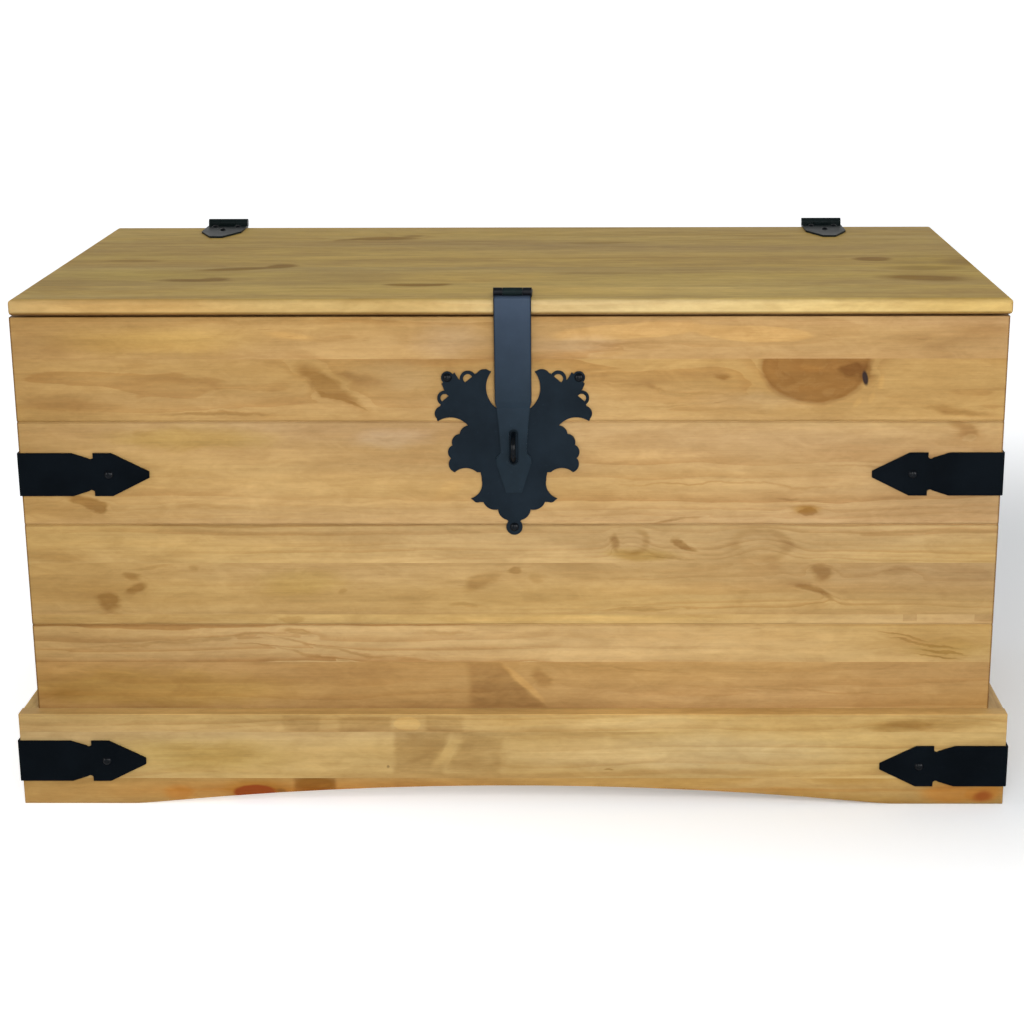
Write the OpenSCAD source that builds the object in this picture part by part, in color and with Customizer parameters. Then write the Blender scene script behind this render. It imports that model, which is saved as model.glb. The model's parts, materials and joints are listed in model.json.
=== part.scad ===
// Storage chest in tongue-and-groove pine with a hinged lid, a low arched plinth,
// black iron corner straps and a hasp over a staple. Millimetres, +Z up,
// the floor at z = 0, the front facing -Y, the centre of the overall box at x = y = 0.

/* [Carcass] */
// Width of the body over its side walls
body_w = 880; // [700:5:1100]
// Depth of the body over its front and back walls
body_d = 477; // [440:1:600]
// Height of the top of the walls above the floor
body_top = 454; // [446:1:460]
// Thickness of the wall boards
wall_t = 18; // [16:0.5:22]
// Cover width of one wall board, joint to joint
board_pitch = 95; // [94:0.5:95.5]
// Depth of each half of the V-groove where two boards meet
v_cut = 1.6; // [0.5:0.1:2.5]
// Length of a tongue
tongue_l = 6; // [4:0.5:7]
// Thickness of a tongue
tongue_t = 6; // [4:0.5:7]
// Side of the square corner posts above their shoulders
post_s = 32; // [28:1:40]
// Side of the square cleats under the bottom panel
cleat_s = 20; // [16:1:24]
// Thickness of the bottom panel
panel_t = 9; // [6:0.5:12]

/* [Plinth] */
// Height of the plinth
plinth_h = 89; // [80:1:100]
// How far the front plinth board stands in front of the body
plinth_front_t = 18; // [15:0.5:20]
// How far the side plinth boards stand out from the body
plinth_side_t = 15; // [12:0.5:18]
// Chord of the arch cut in the front plinth board
arch_w = 711; // [500:1:750]
// Rise of the arch
arch_rise = 19.2; // [10:0.1:24]
// Radius of the top outer edge of the plinth
plinth_round_top = 2.5; // [1:0.5:4]
// Radius of the bottom outer edge of the plinth
plinth_round_low = 4; // [1:0.5:5]

/* [Lid] */
// Width of the lid
lid_w = 882; // [702:1:1102]
// Sideways offset of the lid on the body
lid_shift = 1; // [0:0.1:1]
// Thickness of the lid
lid_t = 14.5; // [14:0.5:18]
// Shadow gap between the walls and the lid
lid_gap = 1.5; // [0.5:0.1:2]
// How far the lid overhangs the front wall
lid_over = 3; // [2:0.1:4]
// Gap between the lid's back edge and the plane of the back wall
lid_back_gap = 0.5; // [0.4:0.1:1]
// Radius of the lid's long and end edges
lid_round = 4.8; // [2:0.1:5]
// Radius of the lid's corners seen from above
lid_corner = 4; // [2:0.5:8]
// Lid's first glue joint, measured back from the front wall
lid_joint_1 = 74; // [66:1:80]
// Lid's second glue joint
lid_joint_2 = 186; // [170:1:220]
// Lid's third glue joint
lid_joint_3 = 326; // [320:1:340]
// Width of a lid batten
batten_w = 45; // [30:1:60]
// Thickness of a lid batten
batten_t = 18; // [12:0.5:22]
// Distance of each batten's centre line from the middle
batten_x = 285; // [200:5:300]

/* [Hinges] */
// Outer radius of a hinge knuckle
knuckle_r = 4.25; // [4:0.05:5]
// Radius of a hinge pin
pin_r = 2; // [1.5:0.1:2.4]
// Width of a hinge
hinge_w = 42; // [36:0.5:50]
// Length of the middle knuckle
knuckle_mid = 16.4; // [12:0.1:20]
// Sheet thickness of all the iron straps and leaves
iron_t = 2; // [1.6:0.1:2.4]
// Length of a hinge leaf from the pin to its tip
leaf_l = 90; // [70:1:110]
// Position of the left hinge
hinge_left_x = -319; // [-330:1:-312]
// Position of the right hinge
hinge_right_x = 323; // [312:1:330]
// Gap between turning knuckles
knuckle_gap = 0.3; // [0.2:0.05:0.5]

/* [Hasp] */
// Position of the hasp and its plate
hasp_x = 3.6; // [0:0.1:6]
// Distance of the hasp pin behind the front wall's face
hasp_pin_y = 4.5; // [4:0.1:6]
// Height of the hasp pin above the top of the lid
hasp_pin_up = 5.2; // [5:0.1:6]
// Outer radius of the hasp's knuckles
hasp_knuckle_r = 3.9; // [3.6:0.1:4.2]
// Radius of the hasp's pin
hasp_pin_r = 1.7; // [1.4:0.1:2]
// Length of the hasp's barrel
hasp_w = 33.9; // [30:0.1:38]
// Length of the hasp's middle knuckle
hasp_mid = 17.2; // [14:0.1:20]
// Length of the fixed leaf behind the hasp's pin
hasp_leaf_l = 36; // [30:1:44]
// Thickness of the plate behind the hasp
plate_t = 1.6; // [1:0.1:1.8]
// Width of the slot in the hasp
slot_w = 8.4; // [8:0.1:9]
// Height of the slot's upper end
slot_top = 353.9; // [353:0.1:358]
// Height of the slot's lower end
slot_low = 321.7; // [318:0.1:322]
// Height of the staple's middle
staple_z = 337.7; // [337:0.1:338.5]
// Radius of the staple's bend, to the middle of the rod
staple_bend = 11.5; // [10.5:0.1:12]
// Radius of the staple's rod
staple_rod = 2.25; // [2:0.05:2.4]
// How far the staple stands out from the front wall
staple_out = 22.4; // [20:0.1:24]

/* [Corner straps] */
// Width of a corner strap
strap_w = 39.4; // [34:0.2:44]
// Length of each leg of a corner strap
strap_l = 118; // [110:1:125]
// Height of the middle of the upper straps
strap_z = 312; // [250:1:330]
// Height of the middle of the left plinth strap
low_strap_left_z = 44; // [36:1:48]
// Height of the middle of the right plinth strap
low_strap_right_z = 39; // [36:1:48]
// Distance of the dome nail from the corner
strap_nail = 81.5; // [78:0.5:84]

/* [Lid stay] */
// Distance from the lid's hinge pin to each end of the stay
stay_r = 180; // [178:1:182]
// Angle at the hinge pin between the stay's two ends when the lid is shut
stay_a0 = 20; // [20:0.5:21]
// Angle through which the lid opens
lid_open = 95; // [90:1:95]
// Width of the stay's arm
arm_w = 16; // [14:0.5:16]
// Thickness of the stay's arm
arm_t = 2.5; // [2:0.1:3]
// Radius of the guide pin in the arm's slot
guide_r = 3; // [2.5:0.1:3.2]

/* [Hidden] */
$fn = 64;
lid_joints = [lid_joint_1, lid_joint_2, lid_joint_3];
hinge_xs = [hinge_left_x, hinge_right_x];
ff = -(body_d + 2 * knuckle_r + staple_out) / 2 + staple_out; // front wall's face
bf = ff + body_d;                                            // back wall's face
hw = body_w / 2;
lid_z0 = body_top + lid_gap;
lid_z1 = lid_z0 + lid_t;
board_z = [for (i = [0:4]) i == 4 ? body_top : body_top - 94 - (3 - i) * board_pitch];
low_z = board_z[0];
hinge_y = bf + knuckle_r;
hinge_z = lid_z1 + knuckle_r;
pin_y = ff + hasp_pin_y;
pin_z = lid_z1 + hasp_pin_up;
nail_head = 4.3;
nail_rise = 2.4;
nail_shank = 1.4;
nail_hole = 1.45;
screw_shank = 1.6;
screw_hole = 1.65;
// stay geometry in the plane across the lid's hinge pin
la = asin((knuckle_r + lid_t + 8.6) / stay_r);
ly = hinge_y - stay_r * cos(la);
lz = hinge_z - stay_r * sin(la);
gy = hinge_y - stay_r * cos(la + stay_a0);
gz = hinge_z - stay_r * sin(la + stay_a0);
d_shut = 2 * stay_r * sin(stay_a0 / 2);
d_open = 2 * stay_r * sin((stay_a0 + lid_open) / 2);
arm_dir = atan2(gz - lz, gy - ly);
wall_in = hw - wall_t;
arm_x = wall_in - 14.8;
batten_y0 = ff + wall_t + 14;
batten_y1 = bf - wall_t - 14;
batten_screw_ys = [batten_y0 + 30, (batten_y0 + batten_y1) / 2 + 12, batten_y1 - 30];

pine = "#c2965c";
pine_light = "#bf9f66";
pine_olive = "#9c8352";
iron = "#171b20";
zinc = "#a9adb0";

// ---- helpers -----------------------------------------------------------------

// cuts the outside corner of radius r at the origin, the solid lying in +x +y
module corner_cut(r) {
  difference() {
    translate([-1, -1]) square([r + 1, r + 1]);
    translate([r, r]) circle(r);
  }
}

// w by h rectangle from the origin with each corner's radius: low left, low right, top right, top left
module eased(w, h, r) {
  difference() {
    square([w, h]);
    if (r[0] > 0) corner_cut(r[0]);
    if (r[1] > 0) translate([w, 0]) mirror([1, 0]) corner_cut(r[1]);
    if (r[2] > 0) translate([w, h]) rotate(180) corner_cut(r[2]);
    if (r[3] > 0) translate([0, h]) mirror([0, 1]) corner_cut(r[3]);
  }
}

// a profile drawn as (y, z), extruded along +X from x0 for length l
module along_x(x0, l) {
  translate([x0, 0, 0]) rotate([90, 0, 90]) linear_extrude(l) children();
}

// a profile drawn as (x, z), extruded along +Y from y0 for length l
module along_y(y0, l) {
  translate([0, y0 + l, 0]) rotate([90, 0, 0]) linear_extrude(l) children();
}

module rod_x(x0, l, y, z, r) {
  translate([x0, y, z]) rotate([0, 90, 0]) cylinder(h = l, r = r);
}

module rod_y(x, y0, l, z, r) {
  translate([x, y0 + l, z]) rotate([90, 0, 0]) cylinder(h = l, r = r);
}

// dome-headed nail, its head's flat side at the origin, the head towards +Z
module dome_nail() {
  intersection() {
    translate([0, 0, nail_rise - (nail_head * nail_head + nail_rise * nail_rise) / (2 * nail_rise)])
      sphere(r = (nail_head * nail_head + nail_rise * nail_rise) / (2 * nail_rise));
    cylinder(h = nail_rise + 1, r = nail_head);
  }
  translate([0, 0, -14]) cylinder(h = 14.3, r = nail_shank);
}

// round-headed wood screw with a slot, seated like the nail
module round_screw() {
  difference() {
    intersection() {
      translate([0, 0, -2.05]) sphere(r = 4.05);
      cylinder(h = 4, r = 3.5);
    }
    translate([-4, -0.4, 1.1]) cube([8, 0.8, 2]);
  }
  translate([0, 0, -12]) cylinder(h = 12.2, r = screw_shank);
}

// countersunk wood screw, its flat top at the origin, pointing down
module csk_screw() {
  difference() {
    union() {
      translate([0, 0, -2.2]) cylinder(h = 2.2, r1 = 1.9, r2 = 3.7);
      translate([0, 0, -28]) cylinder(h = 26, r = 1.9);
    }
    translate([-2.4, -0.4, -1]) cube([4.8, 0.8, 2]);
    translate([-0.4, -2.4, -1]) cube([0.8, 4.8, 2]);
  }
}

module csk_hole() {
  translate([0, 0, -2.25]) cylinder(h = 2.3, r1 = 1.95, r2 = 3.83);
  translate([0, 0, -28.2]) cylinder(h = 26.3, r = 1.95);
}

// ---- wall boards ---------------------------------------------------------------

// section of wall board i as (depth from the outer face, height)
module board_section(i) {
  h = board_z[i + 1] - board_z[i];
  m = wall_t / 2;
  difference() {
    union() {
      square([wall_t, h]);
      if (i < 3) translate([m - tongue_t / 2, h - 1]) square([tongue_t, tongue_l + 1]);
    }
    if (i > 0) {
      translate([m - tongue_t / 2 - 0.2, -1]) square([tongue_t + 0.4, tongue_l + 1.5]);
      polygon([[-1, -1], [v_cut + 1, -1], [-1, v_cut + 1]]);
    }
    if (i < 3) polygon([[-1, h + 1], [v_cut + 1, h + 1], [-1, h - v_cut - 1]]);
  }
}

module long_board(i, back) {
  along_x(-hw, body_w)
    translate([back ? bf : ff, board_z[i]]) mirror([back ? 1 : 0, 0]) board_section(i);
}

module side_board(i, right) {
  along_y(ff + wall_t, body_d - 2 * wall_t)
    translate([right ? hw : -hw, board_z[i]]) mirror([right ? 1 : 0, 0]) board_section(i);
}

module front_board(i) {
  color(pine) difference() {
    long_board(i, false);
    if (i == 1 || i == 2) for (s = [-1, 1]) strap_nail_hole(s, strap_z);
    if (i == 2) {
      for (s = [-1, 1]) rod_y(hasp_x, ff - 1, 16, staple_z + s * staple_bend, staple_rod + 0.05);
    }
    if (i == 3) for (s = [-1, 1]) rod_y(hasp_x + s * 58.3, ff - 1, 14.3, 400.1, nail_hole);
    if (i == 1) rod_y(hasp_x, ff - 1, 14.3, 263.3, nail_hole);
    if (i == 0) cleat_screw_holes();
  }
}

module back_board(i) {
  color(pine) difference() {
    long_board(i, true);
    for (x = hinge_xs) for (p = body_screws()) hinge_body_screw_hole(x, p);
    if (i == 0) cleat_screw_holes();
  }
}

module left_board(i) {
  color(pine) difference() {
    side_board(i, false);
    side_strap_nail_hole(-1, strap_z);
    if (i == 0) cleat_screw_holes();
  }
}

module right_board(i) {
  color(pine) difference() {
    side_board(i, true);
    side_strap_nail_hole(1, strap_z);
    if (i == 0) cleat_screw_holes();
    guide_screw_places() translate([0, 0, -12.2]) cylinder(h = 13, r = screw_hole);
  }
}

module front_board_1() { front_board(0); }
module front_board_2() { front_board(1); }
module front_board_3() { front_board(2); }
module front_board_4() { front_board(3); }
module back_board_1() { back_board(0); }
module back_board_2() { back_board(1); }
module back_board_3() { back_board(2); }
module back_board_4() { back_board(3); }
module left_board_1() { left_board(0); }
module left_board_2() { left_board(1); }
module left_board_3() { left_board(2); }
module left_board_4() { left_board(3); }
module right_board_1() { right_board(0); }
module right_board_2() { right_board(1); }
module right_board_3() { right_board(2); }
module right_board_4() { right_board(3); }

// ---- posts, cleats and bottom ----------------------------------------------------

// rebated corner post: the walls stand on its shoulder and the plinth covers its foot
module post(sx, back) {
  color(pine_light) translate([0, (ff + bf) / 2, 0]) mirror([sx < 0 ? 1 : 0, 0, 0]) mirror([0, back ? 1 : 0, 0])
    translate([0, -(ff + bf) / 2, 0]) {
      translate([hw - wall_t - post_s, ff, 3]) cube([wall_t + post_s, wall_t + post_s, low_z - 3]);
      translate([hw - wall_t - post_s, ff + wall_t, 3]) cube([post_s, post_s, body_top - 11]);
    }
}

module post_front_left() { post(-1, false); }
module post_front_right() { post(1, false); }
module post_back_left() { post(-1, true); }
module post_back_right() { post(1, true); }

module bottom_panel() {
  color("#c9ad7e") difference() {
    translate([-wall_in, ff + wall_t, low_z + cleat_s]) cube([2 * wall_in, body_d - 2 * wall_t, panel_t]);
    for (sx = [-1, 1]) for (sy = [0, 1])
      translate([sx * (hw - wall_t - post_s / 2), sy ? bf - wall_t - post_s / 2 : ff + wall_t + post_s / 2, 0])
        cube([post_s + 1, post_s + 1, 600], center = true);
  }
}

cleat_long_xs = [-300, 0, 300];
cleat_side_ys = [-90, 110];

module cleat_screw_places() {
  z = low_z + cleat_s / 2;
  for (x = cleat_long_xs) {
    translate([x, ff + wall_t + cleat_s, z]) rotate([-90, 0, 0]) children();
    translate([x, bf - wall_t - cleat_s, z]) rotate([90, 0, 0]) children();
  }
  for (y = cleat_side_ys) {
    translate([-wall_in + cleat_s, y, z]) rotate([0, 90, 0]) children();
    translate([wall_in - cleat_s, y, z]) rotate([0, -90, 0]) children();
  }
}

module cleat_screw_holes() { cleat_screw_places() csk_hole(); }

module cleat_front() {
  color(pine_light) difference() {
    translate([-wall_in + post_s, ff + wall_t, low_z]) cube([2 * (wall_in - post_s), cleat_s, cleat_s]);
    cleat_screw_holes();
  }
}

module cleat_back() {
  color(pine_light) difference() {
    translate([-wall_in + post_s, bf - wall_t - cleat_s, low_z]) cube([2 * (wall_in - post_s), cleat_s, cleat_s]);
    cleat_screw_holes();
  }
}

module cleat_side(s) {
  color(pine_light) difference() {
    translate([s < 0 ? -wall_in : wall_in - cleat_s, ff + wall_t + post_s, low_z])
      cube([cleat_s, body_d - 2 * (wall_t + post_s), cleat_s]);
    cleat_screw_holes();
  }
}

module cleat_left() { cleat_side(-1); }
module cleat_right() { cleat_side(1); }

module cleat_screws() {
  color(zinc) cleat_screw_places() csk_screw();
}

// ---- plinth ------------------------------------------------------------------------

arch_r = (arch_w * arch_w / 4 + arch_rise * arch_rise) / (2 * arch_rise);

module plinth_front() {
  color(pine_light) difference() {
    intersection() {
      along_x(-hw - plinth_side_t, body_w + 2 * plinth_side_t)
        translate([ff - plinth_front_t, 0]) eased(plinth_front_t, plinth_h, [plinth_round_low, 0, 0, plinth_round_top]);
      translate([-hw - plinth_side_t, ff - plinth_front_t, -1])
        linear_extrude(plinth_h + 2) eased(body_w + 2 * plinth_side_t, plinth_front_t, [1.5, 1.5, 0, 0]);
    }
    translate([0, ff + 1, arch_rise - arch_r]) rotate([90, 0, 0]) cylinder(h = plinth_front_t + 2, r = arch_r, $fn = 256);
    for (s = [-1, 1]) plinth_strap_holes(s);
  }
}

module plinth_side(s) {
  color(pine_light) mirror([s > 0 ? 0 : 1, 0, 0]) difference() {
    along_y(ff, body_d)
      translate([hw, 0]) eased(plinth_side_t, plinth_h, [0, plinth_round_low, plinth_round_top, 0]);
    plinth_side_nail_hole(1, s < 0 ? low_strap_left_z : low_strap_right_z);
  }
}

module plinth_left() { plinth_side(-1); }
module plinth_right() { plinth_side(1); }

module plinth_back() {
  color(pine_light) translate([-wall_in + post_s, bf - wall_t, 0]) cube([2 * (wall_in - post_s), wall_t, low_z]);
}

// ---- corner straps -------------------------------------------------------------------

// one leg of a spear-ended strap as (distance from the corner, height), with round notches behind the head
module strap_leg() {
  h = strap_w / 2;
  difference() {
    polygon([[0, -h], [49, -h], [63, -h + 4.6], [68.2, -h + 4.6], [68.2, -h], [84.5, -h], [strap_l, -2.9],
      [strap_l, 2.9], [84.5, h], [68.2, h], [68.2, h - 4.6], [63, h - 4.6], [49, h], [0, h]]);
    for (s = [-1, 1]) translate([65.6, s * (h - 3.1)]) circle(2.6);
  }
}

module strap(s, x_out, y_out, z) {
  color(iron) mirror([s > 0 ? 1 : 0, 0, 0]) intersection() {
    union() {
      translate([-x_out - iron_t, y_out, z]) rotate([90, 0, 0]) linear_extrude(iron_t) strap_leg();
      translate([-x_out - iron_t, y_out - iron_t, z]) rotate([90, 0, 90]) linear_extrude(iron_t) strap_leg();
    }
    translate([-x_out - iron_t, y_out - iron_t, z - 100]) linear_extrude(200) eased(strap_l + 10, strap_l + 10, [1.8, 0, 0, 0]);
  }
}

module strap_nail_hole(s, z) { rod_y(s * (hw + iron_t - strap_nail), ff - 1, 15.2, z, nail_hole); }
module side_strap_nail_hole(s, z) {
  rod_x(s > 0 ? hw - 14.2 : -hw - 1, 15.2, ff - iron_t + strap_nail, z, nail_hole);
}
module plinth_strap_holes(s) {
  rod_y(s * (hw + plinth_side_t + iron_t - strap_nail), ff - plinth_front_t - 1, 15.2,
    s < 0 ? low_strap_left_z : low_strap_right_z, nail_hole);
}
module plinth_side_nail_hole(s, z) {
  rod_x(s > 0 ? hw + plinth_side_t - 14.2 : -hw - plinth_side_t - 1, 15.2, ff - plinth_front_t - iron_t + strap_nail, z, nail_hole);
}

module body_strap_left() { difference() { strap(-1, hw, ff, strap_z); body_strap_holes(-1); } }
module body_strap_right() { difference() { strap(1, hw, ff, strap_z); body_strap_holes(1); } }
module body_strap_holes(s) {
  rod_y(s * (hw + iron_t - strap_nail), ff - 5, 10, strap_z, nail_hole);
  rod_x(s > 0 ? hw - 5 : -hw - 5, 10, ff - iron_t + strap_nail, strap_z, nail_hole);
}
module plinth_strap_cut(s, z) {
  rod_y(s * (hw + plinth_side_t + iron_t - strap_nail), ff - plinth_front_t - 5, 10, z, nail_hole);
  rod_x(s > 0 ? hw + plinth_side_t - 5 : -hw - plinth_side_t - 5, 10, ff - plinth_front_t - iron_t + strap_nail, z, nail_hole);
}
module plinth_strap_left() {
  difference() {
    strap(-1, hw + plinth_side_t, ff - plinth_front_t, low_strap_left_z);
    plinth_strap_cut(-1, low_strap_left_z);
  }
}
module plinth_strap_right() {
  difference() {
    strap(1, hw + plinth_side_t, ff - plinth_front_t, low_strap_right_z);
    plinth_strap_cut(1, low_strap_right_z);
  }
}

module strap_nail_pair(s, x_out, y_out, z) {
  translate([s * (x_out + iron_t - strap_nail), y_out - iron_t, z]) rotate([90, 0, 0]) dome_nail();
  translate([s * (x_out + iron_t), y_out - iron_t + strap_nail, z]) rotate([0, s * 90, 0]) dome_nail();
}

module strap_nails() {
  color(iron) for (s = [-1, 1]) {
    strap_nail_pair(s, hw, ff, strap_z);
    strap_nail_pair(s, hw + plinth_side_t, ff - plinth_front_t, s < 0 ? low_strap_left_z : low_strap_right_z);
  }
}

// ---- hasp plate and staple --------------------------------------------------------------

// half of the plate, drawn as (distance from its middle line, height above the floor) and plate_t thick
module plate_half() {
  difference() {
    union() {
      // upper wing
      sheet() polygon([[-1, 350], [-1, 400], [19.3, 405.5], [25, 407], [33, 403.6], [36.5, 400.6], [43, 395.3],
        [48.3, 398.6], [51.8, 404.5], [55, 402], [58.3, 400], [63.4, 394.4], [61.4, 389.4], [56.8, 384], [63.3, 378.5],
        [65, 374.5], [68.6, 367], [68, 361.6], [56, 350], [20, 350]]);
      sheet() circle_at(25.5, 400, 7.5);
      sheet() circle_at(58.3, 400.1, 5.5);
      sheet() circle_at(63.3, 367.6, 6.7);
      sheet() difference() {
        circle_at(40, 399, 7.2);
        circle_at(40, 399, 4.2);
      }
      sheet() difference() {
        circle_at(60.7, 381.5, 6.8);
        circle_at(60.7, 381.5, 3.9);
      }
    }
    bite(0, 391, 24);
    bite(56, 344, 20.1);
  }
  // middle wing with its scallops
  difference() {
    union() {
      sheet() polygon([[-1, 356], [-1, 300], [27, 300], [30, 314], [54.2, 314.6], [53, 330], [50, 340], [44, 352],
        [40.3, 356.6], [24, 362]]);
      sheet() circle_at(39.5, 348, 8.66);
      sheet() circle_at(47.5, 341.3, 7.67);
      sheet() circle_at(52, 332.4, 6.83);
      sheet() circle_at(50.4, 321.5, 7.9);
    }
    bite(43, 303.5, 14.4);
  }
  // lower part
  difference() {
    union() {
      sheet() polygon([[-1, 262], [6.6, 269.9], [14.7, 279.5], [27.7, 286.5], [34, 286.3], [38.8, 289.5], [34, 293],
        [29, 300], [29, 312], [-1, 312]]);
      sheet() circle_at(33, 290.4, 4.4);
      sheet() circle_at(17.3, 290.3, 11.1);
      sheet() circle_at(4.1, 280.2, 10.6);
    }
    bite(43, 303.5, 14.4);
  }
  sheet() circle_at(0, 263.3, 7.35);
}

module sheet() { linear_extrude(plate_t) children(); }
module bite(x, y, r) { translate([x, y, -1]) cylinder(h = plate_t + 2, r = r); }
module circle_at(x, y, r) { translate([x, y]) circle(r); }

module hasp_plate() {
  color(iron) difference() {
    translate([hasp_x, ff, 0]) rotate([90, 0, 0]) union() {
      plate_half();
      mirror([1, 0, 0]) plate_half();
    }
    for (s = [-1, 1]) {
      rod_y(hasp_x + s * 58.3, ff - 5, 10, 400.1, nail_hole);
      rod_y(hasp_x, ff - 5, 10, staple_z + s * staple_bend, staple_rod + 0.05);
    }
    rod_y(hasp_x, ff - 5, 10, 263.3, nail_hole);
  }
}

module plate_nails() {
  color(iron) {
    for (s = [-1, 1]) translate([hasp_x + s * 58.3, ff - plate_t, 400.1]) rotate([90, 0, 0]) plate_nail();
    translate([hasp_x, ff - plate_t, 263.3]) rotate([90, 0, 0]) plate_nail();
  }
}

module plate_nail() {
  intersection() {
    translate([0, 0, -2.4]) sphere(r = 4.7);
    cylinder(h = 4, r = 4.04);
  }
  translate([0, 0, -13]) cylinder(h = 13.3, r = nail_shank);
}

// the staple's rod bends in the plane x = hasp_x and both ends are driven into the front wall
module staple() {
  yb = ff - staple_out + staple_rod + staple_bend;
  color(iron) {
    translate([hasp_x, yb, staple_z]) rotate([0, 90, 0]) rotate([0, 0, 180])
      rotate_extrude(angle = 180, $fn = 64) translate([staple_bend, 0]) circle(staple_rod, $fn = 32);
    for (s = [-1, 1]) rod_y(hasp_x, yb, ff + 14.5 - yb, staple_z + s * staple_bend, staple_rod);
  }
}

// ---- lid ----------------------------------------------------------------------------------

lid_x0 = lid_shift - lid_w / 2;
lid_y0 = ff - lid_over;
lid_y1 = bf - lid_back_gap;

module lid_blank() {
  d = lid_y1 - lid_y0;
  r = lid_round;
  intersection() {
    along_x(lid_x0, lid_w) translate([lid_y0, lid_z0]) eased(d, lid_t, [r, r, r, r]);
    along_y(lid_y0, d) translate([lid_x0, lid_z0]) eased(lid_w, lid_t, [r, r, r, r]);
    translate([lid_x0, lid_y0, lid_z0]) linear_extrude(lid_t)
      eased(lid_w, d, [lid_corner, lid_corner, lid_corner, lid_corner]);
  }
}

function lid_cut(i) = i == 0 ? lid_y0 - 5 : i == 4 ? lid_y1 + 5 : ff + lid_joints[i - 1];

module lid_board(i) {
  color(pine_olive) difference() {
    intersection() {
      lid_blank();
      translate([lid_x0 - 5, lid_cut(i), lid_z0 - 5]) cube([lid_w + 10, lid_cut(i + 1) - lid_cut(i), lid_t + 10]);
    }
    batten_screw_places() csk_hole();
    if (i == 0) hasp_leaf_screw_places() screw_bore();
    if (i == 3) for (x = hinge_xs) for (p = lid_screws()) lid_leaf_screw(x, p) screw_bore();
    bracket_screw_places() screw_bore();
  }
}

module screw_bore() { translate([0, 0, -12.2]) cylinder(h = 13, r = screw_hole); }

module lid_board_1() { lid_board(0); }
module lid_board_2() { lid_board(1); }
module lid_board_3() { lid_board(2); }
module lid_board_4() { lid_board(3); }

module lid_batten_left() { batten_plain(-1); }
module lid_batten_right() { batten_plain(1); }

// batten with bevelled ends
module batten_plain(s) {
  l = batten_y1 - batten_y0;
  b = 8;
  color(pine_light) difference() {
    along_x(s * batten_x - batten_w / 2, batten_w) translate([batten_y0, lid_z0 - batten_t])
      polygon([[b, 0], [l - b, 0], [l, b], [l, batten_t], [0, batten_t], [0, b]]);
    batten_screw_places() csk_hole();
  }
}

module batten_screw_places() {
  for (s = [-1, 1]) for (y = batten_screw_ys)
    translate([s * batten_x, y, lid_z0 - batten_t]) rotate([180, 0, 0]) children();
}

module batten_screws() { color(zinc) batten_screw_places() csk_screw(); }

// ---- lid hinges --------------------------------------------------------------------------------

// screw places on the lid's leaf and on the body's leaf as (sideways, distance from the pin)
function lid_screws() = [[-12, 16], [12, 16], [0, 42]];
function body_screws() = [[-12, 32], [12, 32], [0, 62]];

// outline of a leaf as (sideways, distance from the pin); c is where its full width starts
module leaf_outline(c) {
  h = hinge_w / 2;
  polygon([[-h, c], [h, c], [h, 52], [6.5, leaf_l], [-6.5, leaf_l], [-h, 52]]);
}

module hinge_lid_leaf(x) {
  m = knuckle_mid / 2;
  color(iron) difference() {
    union() {
      translate([x, hinge_y, lid_z1]) mirror([0, 1, 0]) linear_extrude(iron_t) {
        leaf_outline(knuckle_r + 0.4);
        translate([-m, 0]) square([2 * m, knuckle_r + 1]);
      }
      rod_x(x - m, 2 * m, hinge_y, hinge_z, knuckle_r);
    }
    rod_x(x - m - 1, 2 * m + 2, hinge_y, hinge_z, pin_r + 0.06);
    for (p = lid_screws()) translate([x + p[0], hinge_y - p[1], lid_z1 - 1]) cylinder(h = 5, r = screw_hole);
  }
}

module hinge_body_leaf(x) {
  m = knuckle_mid / 2 + knuckle_gap;
  h = hinge_w / 2;
  color(iron) difference() {
    union() {
      translate([x, bf + iron_t, hinge_z]) rotate([-90, 0, 0]) mirror([0, 0, 1]) linear_extrude(iron_t) {
        leaf_outline(knuckle_r + 0.4);
        for (s = [-1, 1]) translate([s > 0 ? m : -h, 0]) square([h - m, knuckle_r + 1]);
      }
      for (s = [-1, 1]) rod_x(s > 0 ? x + m : x - h, h - m, hinge_y, hinge_z, knuckle_r);
    }
    rod_x(x - h - 1, hinge_w + 2, hinge_y, hinge_z, pin_r);
    for (p = body_screws()) rod_y(x + p[0], bf - 1, 5, hinge_z - p[1], screw_hole);
  }
}

module hinge_lid_leaf_left() { hinge_lid_leaf(hinge_xs[0]); }
module hinge_lid_leaf_right() { hinge_lid_leaf(hinge_xs[1]); }
module hinge_body_leaf_left() { hinge_body_leaf(hinge_xs[0]); }
module hinge_body_leaf_right() { hinge_body_leaf(hinge_xs[1]); }

module hinge_pins() {
  color(iron) for (x = hinge_xs) rod_x(x - hinge_w / 2, hinge_w, hinge_y, hinge_z, pin_r);
}

module lid_leaf_screw(x, p) {
  translate([x + p[0], hinge_y - p[1], lid_z1 + iron_t]) children();
}

module body_leaf_screw(x, p) {
  translate([x + p[0], bf + iron_t, hinge_z - p[1]]) rotate([-90, 0, 0]) children();
}

module hinge_body_screw_hole(x, p) { body_leaf_screw(x, p) screw_bore(); }

// ---- hasp ---------------------------------------------------------------------------------------

module hasp_leaf_screw_places() {
  for (s = [-1, 1]) translate([hasp_x + s * 9, pin_y + 24, lid_z1 + iron_t]) children();
}

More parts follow.
